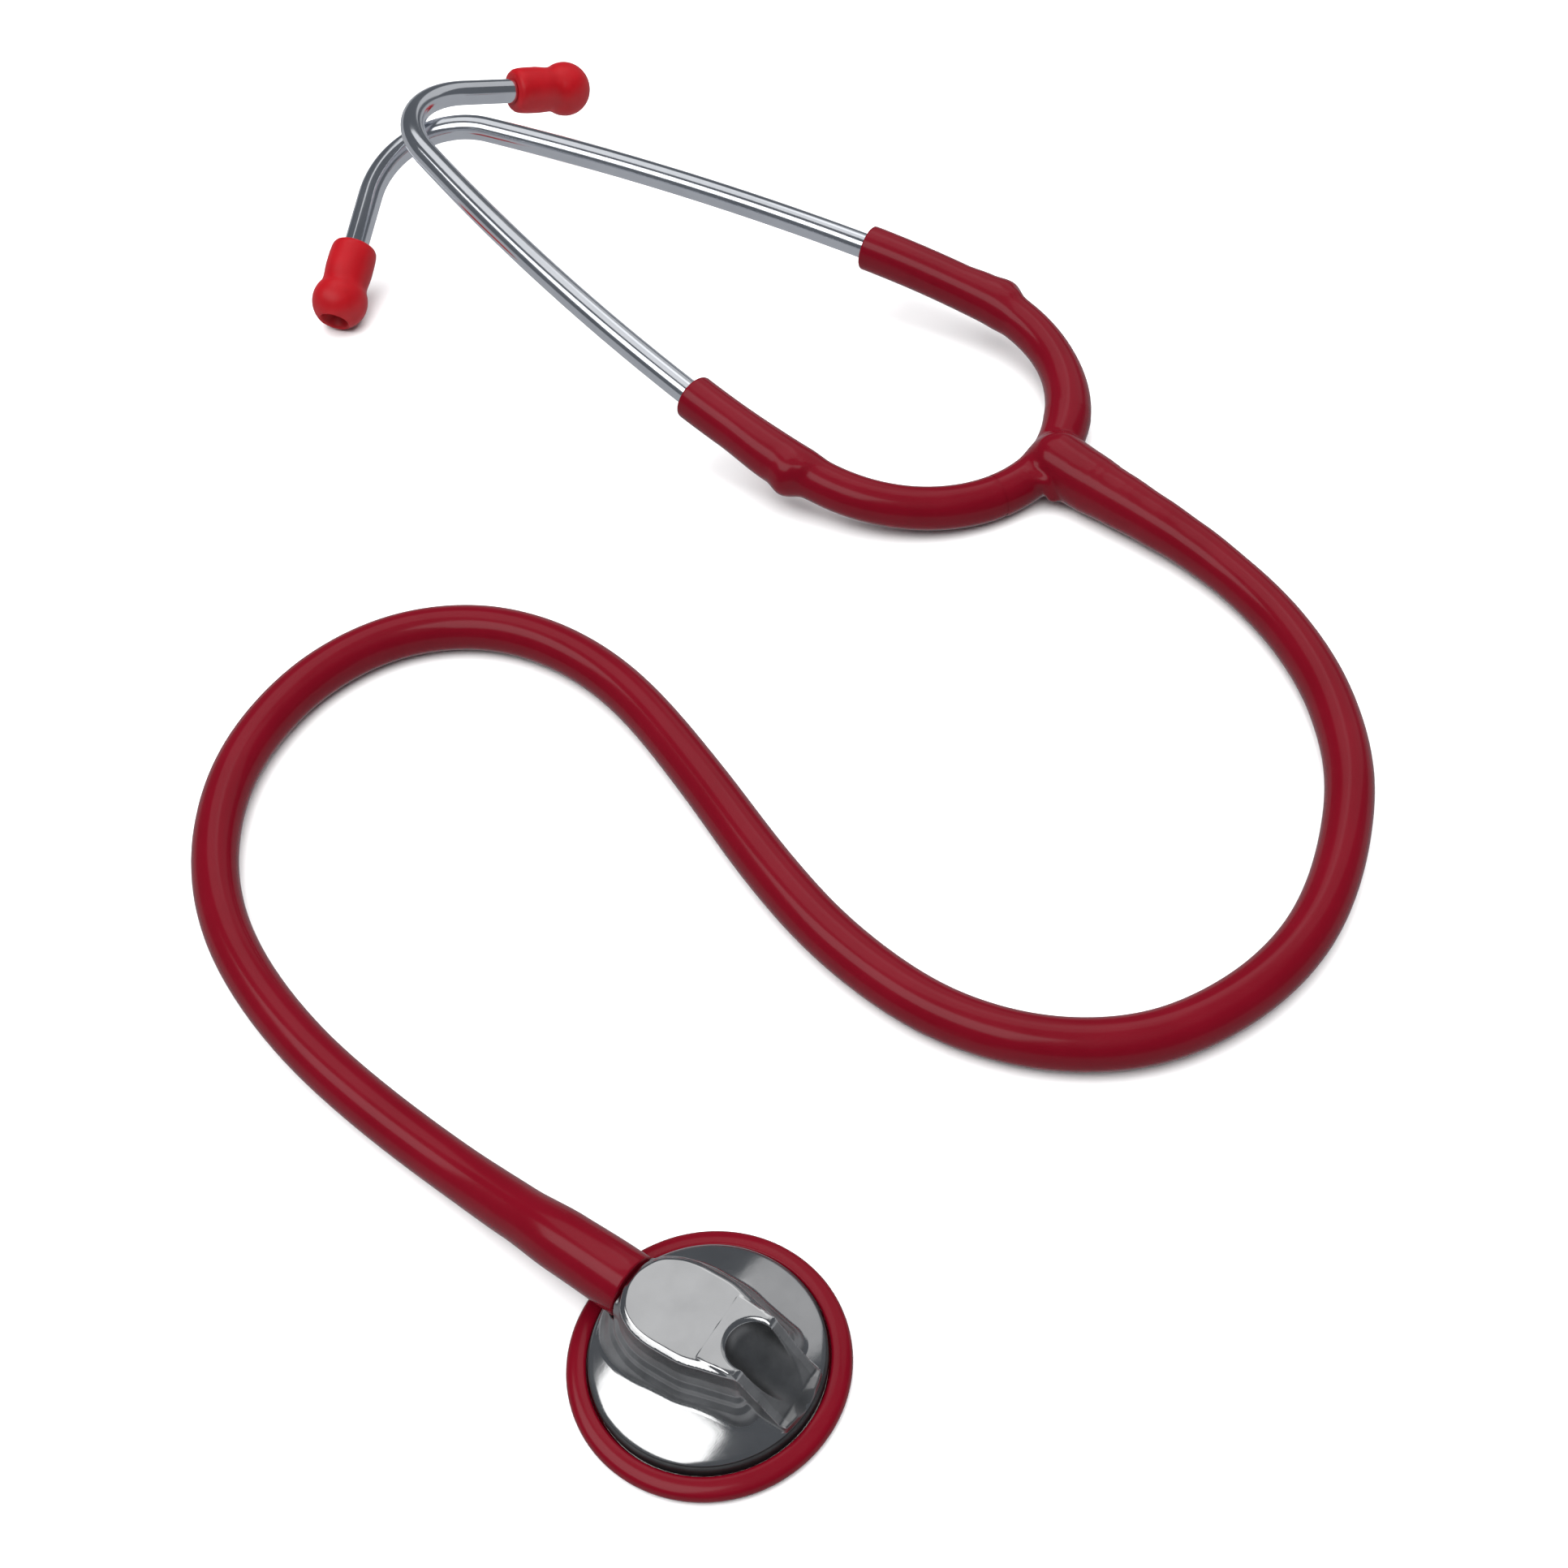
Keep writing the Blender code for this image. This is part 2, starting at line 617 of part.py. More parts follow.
def make_head(stem_base):
    sides = 40
    loops = []

    def level(radius_of, height):
        loop = []
        for i in range(sides):
            angle = 2.0 * math.pi * i / sides
            r = radius_of(angle)
            loop.append(CHEST + Vector((r * math.sin(angle), r * math.cos(angle), height)))
        loops.append(loop)

    def flank(part, inset=0.0):
        def radius_of(angle):
            inner = shield_reach(angle)
            return inner - inset + (HEAD_EDGE_R - inner) * part

        return radius_of

    level(lambda a: CUP_R, HEAD_BOTTOM)
    level(lambda a: HEAD_SKIRT_R, HEAD_BOTTOM)
    level(lambda a: HEAD_SKIRT_R, HEAD_EDGE_Z)
    level(lambda a: HEAD_EDGE_R, HEAD_EDGE_Z)
    level(lambda a: HEAD_EDGE_R, HEAD_EDGE_Z + 0.0005)
    level(flank(0.62), 0.0072)
    level(flank(0.30), 0.0103)
    level(flank(0.08), 0.0150)
    level(flank(0.0, 0.0006), HEAD_TOP)
    vertices, faces = skin_loops(loops, False)
    head = new_object("chestpiece_head", vertices, faces, STEEL_LOOK)

    # the shallow cup above the diaphragm and its sound hole up to the stem
    profile = [(HEAD_BOTTOM - 3.0 * GAP, CUP_R), (HEAD_BOTTOM, CUP_R)]
    profile += [(0.0034, 0.0050), (0.0042, SOUND_HOLE_R), (STEM_Z, SOUND_HOLE_R)]
    cut(head, turned("cup_cutter", profile, CHEST, UP, 32, None, False))

    profile = [(-0.0028, STEM_R + GAP), (HOSE_FACE_Y + 0.0020, STEM_R + GAP)]
    cut(head, turned("stem_bore_cutter", profile, stem_base, AHEAD, 16, None, False))
    profile = [(HOSE_FACE_Y, HOSE_FACE_R), (0.0300, HOSE_FACE_R)]
    cut(head, turned("hose_face_cutter", profile, stem_base, AHEAD, 20, None, False))

    # the sloping thumb groove on the side away from the hose
    down = Vector((0.0, -math.cos(GROOVE_SLOPE), -math.sin(GROOVE_SLOPE)))
    out = Vector((0.0, -math.sin(GROOVE_SLOPE), math.cos(GROOVE_SLOPE)))
    start = CHEST + Vector((0.0, GROOVE_START, HEAD_TOP)) + out * GROOVE_R
    profile = [(-0.0080, GROOVE_R), (0.0200, GROOVE_R)]
    cut(head, turned("groove_cutter", profile, start, down, 20, None, False))
    move_origin(head, stem_base)


def make_stem(stem_base):
    """The hollow stem with its two barbs, and a step at the head's flat face."""
    profile = [(-0.0022, STEM_R), (0.0165, STEM_R), (0.0180, 0.0026), (0.0210, STEM_R)]
    profile += [(0.0212, 0.0026), (0.0240, 0.0029), (0.0242, 0.0025), (0.0265, 0.0024)]
    profile += [(0.0265, STEM_BORE_R), (-0.0022, STEM_BORE_R)]
    stem = turned("chestpiece_stem", profile, stem_base, AHEAD, 14, STEEL_LOOK)
    move_origin(stem, stem_base)


def make_sound_face():
    """The seal ring, the diaphragm sheet, and the rim that holds it."""
    inner = HEAD_SKIRT_R + GAP
    profile = [(SEAL_BOTTOM, inner), (SEAL_BOTTOM, SEAL_R), (SEAL_TOP, SEAL_R)]
    profile += [(SEAL_TOP, inner)]
    turned("seal_ring", profile, CHEST, UP, 40, RUBBER_LOOK)

    disc = [(0.0012, DIAPHRAGM_R), (0.0016, DIAPHRAGM_R)]
    turned("diaphragm", disc, CHEST, UP, 40, EPOXY_LOOK, False)

    profile = [(0.0, RIM_LIP_R), (0.0, 0.0221), (0.0007, 0.0231), (0.0018, RIM_R)]
    profile += [(0.0028, 0.0229), (RIM_TOP, 0.0214), (RIM_TOP, RIM_INNER_R)]
    profile += [(0.0009, RIM_INNER_R), (0.0009, RIM_LIP_R)]
    rim = turned("diaphragm_rim", profile, CHEST, UP, 48, PVC_LOOK)
    move_origin(rim, CHEST.copy())


STEM_BASE = CHEST + Vector((0.0, 0.0, STEM_Z))
make_head(STEM_BASE)
make_stem(STEM_BASE)
make_sound_face()
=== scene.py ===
"""Looks for the stethoscope: fine meshes, procedural materials, light and camera."""

import math

import bmesh
import bpy
import numpy as np
from mathutils import Matrix, Vector


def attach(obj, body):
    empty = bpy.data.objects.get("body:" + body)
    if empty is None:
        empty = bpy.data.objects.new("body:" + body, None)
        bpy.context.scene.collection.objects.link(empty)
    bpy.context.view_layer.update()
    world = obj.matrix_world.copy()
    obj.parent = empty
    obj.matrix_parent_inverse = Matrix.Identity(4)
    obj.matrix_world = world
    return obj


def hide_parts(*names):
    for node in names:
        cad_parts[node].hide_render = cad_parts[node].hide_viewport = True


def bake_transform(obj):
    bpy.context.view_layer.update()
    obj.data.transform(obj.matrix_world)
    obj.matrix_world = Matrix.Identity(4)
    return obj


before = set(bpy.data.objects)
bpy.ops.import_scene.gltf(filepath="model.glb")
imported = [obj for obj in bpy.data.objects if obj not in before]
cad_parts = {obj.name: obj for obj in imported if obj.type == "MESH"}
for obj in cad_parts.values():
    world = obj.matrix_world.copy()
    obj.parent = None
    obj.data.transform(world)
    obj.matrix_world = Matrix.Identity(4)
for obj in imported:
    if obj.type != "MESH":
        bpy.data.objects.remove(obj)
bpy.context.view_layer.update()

# ---- layout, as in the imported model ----
CROTCH = Vector((0.09083, -0.04996, 0.0053))
CHEST = Vector((-0.11882, -0.11706, 0.0))
HEADSET_CLIMB = math.radians(8.19)
HEADSET_ROLL = math.radians(3.18)
ARM_FLEX = math.radians(1.16)
FLEX_EASE = 0.020
SIDES = {"left": -1, "right": 1}
UP = Vector((0.0, 0.0, 1.0))
ALONG_Y = Vector((0.0, 1.0, 0.0))

# ---- headset sizes ----
FORK_HALF_WIDTH = 0.0350
FORK_LENGTH = 0.0385
ARM_STRAIGHT = 0.0350
ARM_TOE_IN = math.radians(8.0)
PIVOT_ANGLE = 0.26
FORK_SKIN_ANGLE = 0.42
ARM_TUBING_R = 0.00485
ARM_BORE_R = 0.00305
EAR_TUBE_R = 0.0030
EAR_TUBE_BORE_R = 0.0023
EAR_TUBE_INSERT = 0.0160
EAR_TUBE_ARC_R = 0.650
EAR_TUBE_ARC_LENGTH = 0.101
EAR_TUBE_BEND_R = 0.0225
EAR_TUBE_BEND = math.radians(96.5)
EAR_TUBE_CANT = math.radians(19.0)
EAR_TUBE_END = 0.0140
TIP_BALL_R = 0.00675
TIP_BALL_AT = 0.0155
# where the ball starts and is cut off, before and beyond its middle
TIP_NECK = 0.0038
TIP_MOUTH = 0.0053
TIP_BORE_R = 0.0024
NIPPLE_LENGTH = 0.0080
NIPPLE_INSERT = 0.0038
NIPPLE_SHANK = 0.0008
NIPPLE_SHANK_R = 0.0020
NIPPLE_BORE_R = 0.0011
THREAD_PITCH = 0.0014
THREAD_ROOT_R = 0.0017
THREAD_HEIGHT = 0.0004
THREAD_FADE = 0.0012
LEAF_WIDTH = 0.0050
LEAF_THICKNESS = 0.0008
LEAF_BEYOND_ARCH = 0.0045
# corners of the leaf's section, in half widths and half thicknesses
LEAF_SECTION = [(1, 0.6), (0.9, 1), (-0.9, 1), (-1, 0.6)]
LEAF_SECTION += [(-1, -0.6), (-0.9, -1), (0.9, -1), (1, -0.6)]

# where the spring's end pushes each arm out: distance from the mouth, ramp and height
BUMP_AT = {"left": 0.0308, "right": 0.0357}
BUMP_RAMP = {"left": 0.0190, "right": 0.0110}
BUMP_HEIGHT = {"left": 0.0021, "right": 0.0016}
# the bulge's shoulder before its peak, its share of the height, and the fall beyond
BUMP_SHOULDER = 0.0045
BUMP_SHARE = 0.48
BUMP_FALL = 0.0048
# the lip beyond the peak: place, length, angle round the arm and spread of that angle
NUB_BEYOND = 0.0032
NUB_LENGTH = 0.0011
NUB_ANGLE = 1.15
NUB_SPREAD = 0.30
NUB_HEIGHT = 0.00045
SLEEVE_TRIM = {"left": 0.0, "right": 0.0022}
FORK_SWELL = {"left": 0.0, "right": 0.0005}

# ---- hose sizes ----
HOSE_BORE_R = 0.0024
STEM_R = 0.0030
STEM_Z = 0.0113
STEM_BASE = CHEST + UP * STEM_Z
CUFF_END = 0.0144

# ---- chestpiece sizes ----
RIM_R = 0.0234
RIM_INNER_R = 0.01985
RIM_LIP_R = 0.0185
RIM_TOP = 0.0035
DIAPHRAGM_R = 0.0194
HEAD_EDGE_R = 0.0191
HEAD_EDGE_Z = 0.0049
HEAD_SKIRT_R = 0.0170
HEAD_BOTTOM = 0.0019
HEAD_TOP = 0.0165
HOSE_FACE_Y = 0.0141
HOSE_FACE_R = 0.0058
SEAL_R = 0.0195
SEAL_LOW = 0.0020
SEAL_HIGH = 0.0047
GAP = 0.0003

# ---- hose route: x, y from the fork's centre, z from the table, in metres ----
HOSE_ROUTE = [
    (0.0000, -0.0035, 0.0072), (-0.0014, -0.0104, 0.0070), (-0.0034, -0.0256, 0.0064),
    (-0.0065, -0.0435, 0.0054), (-0.0136, -0.0629, 0.0048), (-0.0249, -0.0798, 0.0048),
    (-0.0385, -0.0923, 0.0048), (-0.0509, -0.0995, 0.0048), (-0.0679, -0.1054, 0.0048),
    (-0.0842, -0.1075, 0.0048), (-0.1005, -0.1048, 0.0048), (-0.1155, -0.0974, 0.0048),
    (-0.1254, -0.0869, 0.0048), (-0.1317, -0.0739, 0.0048), (-0.1343, -0.0576, 0.0048),
    (-0.1317, -0.0369, 0.0048), (-0.1249, -0.0162, 0.0048), (-0.1144, 0.0080, 0.0048),
    (-0.1061, 0.0293, 0.0048), (-0.1024, 0.0460, 0.0048), (-0.1029, 0.0618, 0.0048),
    (-0.1083, 0.0760, 0.0048), (-0.1201, 0.0877, 0.0048), (-0.1371, 0.0932, 0.0048),
    (-0.1553, 0.0917, 0.0048), (-0.1699, 0.0856, 0.0048), (-0.1830, 0.0752, 0.0048),
    (-0.1930, 0.0619, 0.0048), (-0.1999, 0.0461, 0.0048), (-0.2043, 0.0289, 0.0048),
    (-0.2065, 0.0119, 0.0048), (-0.2077, -0.0048, 0.0054), (-0.2085, -0.0188, 0.0070),
    (-0.2092, -0.0290, 0.0092), (-0.20955, -0.0370, 0.0107), (-0.20965, -0.0440, 0.0113),
    (-0.20965, -0.0527, 0.0113),
]


# ---- camera ----
CAMERA_FROM_CROTCH = Vector((-0.31475, -0.18580))
CAMERA_HEIGHT = 0.328
CAMERA_HEADING = math.radians(49.26)
CAMERA_DOWN = math.radians(49.6)
CAMERA_ROLL = math.radians(5.7)
CAMERA_LENS = 49.64


def new_object(name, data):
    obj = bpy.data.objects.new(name, data)
    bpy.context.scene.collection.objects.link(obj)
    return obj


def make_camera():
    data = bpy.data.cameras.new("camera")
    camera = new_object("camera", data)
    data.sensor_width = 36.0
    data.lens = CAMERA_LENS
    data.clip_start = 0.01
    data.clip_end = 20.0
    flat = Vector((math.sin(CAMERA_HEADING), math.cos(CAMERA_HEADING), 0.0))
    forward = flat * math.cos(CAMERA_DOWN) - UP * math.sin(CAMERA_DOWN)
    level = forward.cross(UP).normalized()
    above = level.cross(forward)
    right = level * math.cos(CAMERA_ROLL) - above * math.sin(CAMERA_ROLL)
    up = level * math.sin(CAMERA_ROLL) + above * math.cos(CAMERA_ROLL)
    turn = Matrix((right, up, -forward)).transposed()
    place = Vector((*(CROTCH.xy + CAMERA_FROM_CROTCH), CAMERA_HEIGHT))
    camera.matrix_world = Matrix.Translation(place) @ turn.to_4x4()
    bpy.context.scene.camera = camera


make_camera()


# ---- curve and mesh helpers ----
# edges sharper than this many degrees stay sharp, where a piece doesn't say otherwise
SHARP_ANGLE = 35.0


def link_mesh(name, vertices, faces, look, smooth_angle):
    mesh = bpy.data.meshes.new(name)
    mesh.from_pydata([tuple(v) for v in vertices], [], faces)
    bm = bmesh.new()
    bm.from_mesh(mesh)
    bmesh.ops.recalc_face_normals(bm, faces=bm.faces)
    bm.to_mesh(mesh)
    bm.free()
    mesh.shade_smooth()
    mesh.set_sharp_from_angle(angle=math.radians(smooth_angle))
    mesh.materials.append(look)
    return new_object(name, mesh)


def lerp_table(table, x):
    """Smooth interpolation of (x, value) pairs."""
    if x <= table[0][0]:
        return table[0][1]
    for (xa, a), (xb, b) in zip(table, table[1:]):
        if x <= xb:
            t = (x - xa) / (xb - xa)
            t = t * t * (3.0 - 2.0 * t)
            return a + (b - a) * t
    return table[-1][1]


def smooth_route(points, steps):
    """A Catmull-Rom curve through the points, with so many steps from each to the next."""
    first = points[0] + (points[0] - points[1])
    last = points[-1] + (points[-1] - points[-2])
    full = [first] + list(points) + [last]
    curve = []
    for i in range(1, len(full) - 2):
        p0, p1, p2, p3 = full[i - 1], full[i], full[i + 1], full[i + 2]
        for k in range(steps):
            t = k / steps
            square = (2.0 * p0 - 5.0 * p1 + 4.0 * p2 - p3) * t * t
            cube = (3.0 * p1 - p0 - 3.0 * p2 + p3) * t * t * t
            curve.append(0.5 * (2.0 * p1 + (p2 - p0) * t + square + cube))
    curve.append(points[-1])
    return curve


def arc_lengths(points):
    lengths = [0.0]
    for a, b in zip(points, points[1:]):
        lengths.append(lengths[-1] + (b - a).length)
    return lengths


def even_points(curve, spacing):
    """Points at equal steps of about the given spacing along a curve."""
    lengths = arc_lengths(curve)
    count = max(2, round(lengths[-1] / spacing))
    found = []
    k = 0
    for i in range(count + 1):
        want = lengths[-1] * i / count
        while k < len(curve) - 2 and lengths[k + 1] < want:
            k += 1
        part = (want - lengths[k]) / (lengths[k + 1] - lengths[k])
        found.append(curve[k].lerp(curve[k + 1], part))
    return found


def line_array(points):
    return np.array([list(p) for p in points])


def blurred(line, weights, reach):
    """Weighted mean along a line, with each end carried on by its point reflection."""
    head = 2.0 * line[0] - line[1 : reach + 1][::-1]
    tail = 2.0 * line[-1] - line[-reach - 1 : -1][::-1]
    padded = np.vstack([head, line, tail])
    columns = [np.convolve(padded[:, k], weights, mode="valid") for k in range(3)]
    return np.stack(columns, axis=1)


def relax(points, reach, passes):
    """Evens the curvature of a dense line without shrinking its bends."""
    line = line_array(points)
    width = np.arange(-reach, reach + 1)
    weights = np.exp(-0.5 * (width / (reach / 2.0)) ** 2)
    weights /= weights.sum()
    for _ in range(passes):
        soft = blurred(line, weights, reach)
        line = soft - blurred(soft - line, weights, reach)
    return [Vector(p) for p in line]


def tangent_at(points, i):
    """Direction of a line at its point i, from the points on both sides of it."""
    ahead = points[min(i + 1, len(points) - 1)]
    return (ahead - points[max(i - 1, 0)]).normalized()


def frames_along(points, side):
    """(tangent, normal, binormal) at each point, without twist, starting from side."""
    tangents = [tangent_at(points, i) for i in range(len(points))]
    normal = side - side.dot(tangents[0]) * tangents[0]
    normal.normalize()
    frames = []
    for tangent in tangents:
        normal = normal - normal.dot(tangent) * tangent
        normal.normalize()
        frames.append((tangent, normal, tangent.cross(normal)))
    return frames


def ring(centre, frame_here, radius, sides):
    """radius is a number or a function of the angle from the frame's normal."""
    _, normal, binormal = frame_here
    loop = []
    for i in range(sides):
        angle = 2.0 * math.pi * i / sides
        r = radius(angle) if callable(radius) else radius
        loop.append(centre + r * (math.cos(angle) * normal + math.sin(angle) * binormal))
    return loop


def end_rings(end, here, outer, edge, sides):
    """Rings that round the outer edge of a tube's cut end."""
    loops = []
    for degrees in (0, 30, 60, 90):
        t = math.radians(degrees)
        back = end - here[0] * edge * (1.0 - math.sin(t))
        loops.append(ring(back, here, outer - edge * (1.0 - math.cos(t)), sides))
    return loops


def skin(name, loops, look, closed_loop=False, smooth_angle=SHARP_ANGLE):
    """Joins rings into a mesh: a tube with two flat ends, or a closed loop of rings."""
    sides = len(loops[0])
    vertices = [v for loop in loops for v in loop]
    faces = []
    count = len(loops)
    for i in range(count if closed_loop else count - 1):
        a = i * sides
        b = ((i + 1) % count) * sides
        for k in range(sides):
            n = (k + 1) % sides
            faces.append((a + k, a + n, b + n, b + k))
    if not closed_loop:
        faces.append(tuple(range(sides))[::-1])
        faces.append(tuple(range((count - 1) * sides, count * sides)))
    return link_mesh(name, vertices, faces, look, smooth_angle)


def turned(name, profile, base, axis, sides, look, closed=True, smooth_angle=SHARP_ANGLE):
    """Turns a profile of (along, radius) about the axis through base."""
    side = ALONG_Y if abs(axis.z) > 0.9 else UP
    here = frames_along([base, base + axis], side)[0]
    loops = [ring(base + axis * s, here, r, sides) for s, r in profile]
    return skin(name, loops, look, closed, smooth_angle)


def rounded(profile, radius, steps=4):
    """Rounds each corner of a closed (along, radius) outline."""
    result = []
    count = len(profile)
    for i in range(count):
        a = Vector(profile[i - 1])
        b = Vector(profile[i])
        c = Vector(profile[(i + 1) % count])
        reach = min(radius, 0.45 * (a - b).length, 0.45 * (c - b).length)
        start = b + (a - b).normalized() * reach
        end = b + (c - b).normalized() * reach
        for k in range(steps + 1):
            t = k / steps
            point = start * (1 - t) ** 2 + b * 2 * t * (1 - t) + end * t * t
            result.append((point.x, point.y))
    return result


# ---- implicit surfaces, for shapes that flow into each other ----
MOST_STEP = 0.0004
FAR = 1e9


def polyline_distance(points, chain, radii):
    """Distance from each point to a chain of tapered round segments."""
    best = np.full(len(points), FAR)
    for a, b, ra, rb in zip(chain, chain[1:], radii, radii[1:]):
        step = b - a
        t = np.clip(((points - a) @ step) / (step @ step), 0.0, 1.0)
        near = a + t[:, None] * step
        gap = np.linalg.norm(points - near, axis=1) - (ra + (rb - ra) * t)
        best = np.minimum(best, gap)
    return best


def soft_min(a, b, width):
    """Union of two fields, rounded over the width where they meet."""
    h = np.clip(0.5 + 0.5 * (b - a) / width, 0.0, 1.0)
    return b + (a - b) * h - width * h * (1.0 - h)


def soft_max(a, b, width):
    """Intersection of two fields, rounded over the width where they meet."""
    return -soft_min(-a, -b, width)


def settle(points, field, passes):
    """Moves points onto the field's zero surface, in steps of at most MOST_STEP."""
    tiny = 1e-5
    for _ in range(passes):
        value = field(points)
        slope = np.zeros_like(points)
        for axis in range(3):
            step = np.zeros(3)
            step[axis] = tiny
            slope[:, axis] = (field(points + step) - field(points - step)) / (2 * tiny)
        size = np.maximum((slope**2).sum(axis=1), 0.05)
        move = slope * (value / size)[:, None]
        length = np.linalg.norm(move, axis=1)
        limit = MOST_STEP / np.maximum(length, MOST_STEP)
        points = points - move * limit[:, None]
    return points


def surface_of(name, field, low, high, step, look, smooth_angle):
    """Closed mesh of field < 0 inside the box, at twice the grid's fineness."""
    low = np.array(low)
    counts = np.ceil((np.array(high) - low) / step).astype(int) + 1
    axes = [low[k] + step * np.arange(counts[k]) for k in range(3)]
    grid = np.stack(np.meshgrid(*axes, indexing="ij"), axis=-1)
    values = field(grid.reshape(-1, 3)).reshape(counts)
    inside = values < 0
    corners = [(i, j, k) for i in (0, 1) for j in (0, 1) for k in (0, 1)]
    nx, ny, nz = counts - 1
    total = np.zeros((nx, ny, nz), int)
    for i, j, k in corners:
        total += inside[i : nx + i, j : ny + j, k : nz + k]
    mixed = (total > 0) & (total < 8)
    index = -np.ones((nx, ny, nz), int)
    cells = np.argwhere(mixed)
    index[mixed] = np.arange(len(cells))
    vertices = settle(low + (cells + 0.5) * step, field, 8)
    faces = []
    for axis in range(3):
        first = np.argwhere(
            np.take(inside, range(counts[axis] - 1), axis)
            != np.take(inside, range(1, counts[axis]), axis)
        )
        u, v = [k for k in range(3) if k != axis]
        keep = (first[:, u] > 0) & (first[:, v] > 0)
        keep &= (first[:, u] < counts[u] - 1) & (first[:, v] < counts[v] - 1)
        for cell in first[keep]:
            quad = []
            for du, dv in ((0, 0), (1, 0), (1, 1), (0, 1)):
                near = cell.copy()
                near[u] -= du
                near[v] -= dv
                quad.append(int(index[tuple(near)]))
            faces.append(tuple(quad))
    mesh = bpy.data.meshes.new(name + "_coarse")
    mesh.from_pydata(vertices.tolist(), [], faces)
    bm = bmesh.new()
    bm.from_mesh(mesh)
    bmesh.ops.recalc_face_normals(bm, faces=bm.faces)
    bmesh.ops.subdivide_edges(bm, edges=bm.edges, cuts=1, use_grid_fill=True)
    bm.to_mesh(mesh)
    bm.free()
    fine = np.empty(len(mesh.vertices) * 3)
    mesh.vertices.foreach_get("co", fine)
    fine = settle(fine.reshape(-1, 3), field, 6)
    polygons = [tuple(p.vertices) for p in mesh.polygons]
    bpy.data.meshes.remove(mesh)
    return link_mesh(name, fine.tolist(), polygons, look, smooth_angle)


# ---- materials ----
def node_material(name):
    """A new material with its node tree, shader and unscaled object coordinates."""
    made = bpy.data.materials.new(name)
    made.use_nodes = True
    tree = made.node_tree
    vector = object_coordinates(tree, (1, 1, 1))
    return made, tree, tree.nodes["Principled BSDF"], vector


def object_coordinates(tree, scale):
    where = tree.nodes.new("ShaderNodeTexCoord")
    scaled = tree.nodes.new("ShaderNodeMapping")
    scaled.inputs["Scale"].default_value = scale
    tree.links.new(where.outputs["Object"], scaled.inputs["Vector"])
    return scaled.outputs["Vector"]


def noise(tree, vector, scale, detail):
    made = tree.nodes.new("ShaderNodeTexNoise")
    made.inputs["Scale"].default_value = scale
    made.inputs["Detail"].default_value = detail
    tree.links.new(vector, made.inputs["Vector"])
    return made.outputs["Fac"]


def ramp(tree, factor, low, high, start=0.3, end=0.7):
    made = tree.nodes.new("ShaderNodeValToRGB")
    made.color_ramp.elements[0].position = start
    made.color_ramp.elements[1].position = end
    made.color_ramp.elements[0].color = low
    made.color_ramp.elements[1].color = high
    tree.links.new(factor, made.inputs["Fac"])
    return made.outputs["Color"]


def spread(tree, factor, low, high):
    made = tree.nodes.new("ShaderNodeMapRange")
    made.inputs["To Min"].default_value = low
    made.inputs["To Max"].default_value = high
    tree.links.new(factor, made.inputs["Value"])
    return made.outputs["Result"]


def bump(tree, shader, height, distance, strength):
    """Adds a bump to the shader, on top of any bump it has already."""
    made = tree.nodes.new("ShaderNodeBump")
    made.inputs["Distance"].default_value = distance
    made.inputs["Strength"].default_value = strength
    tree.links.new(height, made.inputs["Height"])
    for link in shader.inputs["Normal"].links[:1]:
        tree.links.new(link.from_socket, made.inputs["Normal"])
    tree.links.new(made.outputs["Normal"], shader.inputs["Normal"])


def clouded_material(name, tones, cloud, roughness=None, grain=None):
    """A material whose colour drifts between two tones, and its roughness with it.

    cloud is a noise's (scale, detail), and grain a fine bump's (scale, detail, distance,
    strength).
    """
    made, tree, shader, vector = node_material(name)
    drift = noise(tree, vector, *cloud)
    dark, light = tones
    colour = ramp(tree, drift, (*dark, 1), (*light, 1))
    tree.links.new(colour, shader.inputs["Base Color"])
    if roughness:
        tree.links.new(spread(tree, drift, *roughness), shader.inputs["Roughness"])
    if grain:
        bump(tree, shader, noise(tree, vector, *grain[:2]), *grain[2:])
    return made, tree, shader, vector


def greys(dark, light):
    return (dark, dark, dark), (light, light, light)


PVC_TONES = ((0.102, 0.0012, 0.0058), (0.116, 0.0017, 0.0072))
SILICONE_TONES = ((0.25, 0.0014, 0.0045), (0.29, 0.0024, 0.0062))
CHROME_TONES = ((0.78, 0.80, 0.84), (0.86, 0.88, 0.92))
POLISHED_TONES = greys(0.55, 0.63)
TURNED_TONES = ((0.50, 0.50, 0.51), (0.60, 0.60, 0.61))
# darker steel tones for the hollow flank and the thumb groove: painted shade in these
# recesses
FLANK_SHADE_TONES = greys(0.30, 0.50)
GROOVE_SHADE_TONES = greys(0.26, 0.44)
SPRING_TONES = ((0.34, 0.34, 0.36), (0.45, 0.45, 0.47))
# near-black seal colour: painted shade for the shadowed gap between the rim and the head
SEAL_SHADE_TONES = ((0.012, 0.012, 0.013), (0.022, 0.022, 0.023))
NYLON_TONES = ((0.02, 0.02, 0.022), (0.03, 0.03, 0.032))
EPOXY_TONES = ((0.70, 0.70, 0.66), (0.78, 0.78, 0.75))
FLOOR_TONES = greys(0.90, 0.92)


def pvc_material():
    made, tree, shader, vector = clouded_material("burgundy_pvc", PVC_TONES, (60.0, 4.0))
    smudge = noise(tree, vector, 240.0, 5.0)
    tree.links.new(spread(tree, smudge, 0.14, 0.21), shader.inputs["Roughness"])
    bump(tree, shader, noise(tree, vector, 130.0, 1.0), 0.0002, 0.10)
    shader.inputs["IOR"].default_value = 1.40
    shader.inputs["Specular IOR Level"].default_value = 0.35
    return made


def eartip_material():
    grain = (3200.0, 2.0, 0.00005, 0.15)
    made, _, shader, _ = clouded_material(
        "red_silicone", SILICONE_TONES, (180.0, 4.0), (0.34, 0.48), grain
    )
    shader.inputs["Specular IOR Level"].default_value = 0.32
    shader.inputs["Subsurface Weight"].default_value = 0.30
    shader.inputs["Subsurface Radius"].default_value = (0.004, 0.001, 0.0008)
    shader.inputs["Subsurface Scale"].default_value = 0.5
    return made


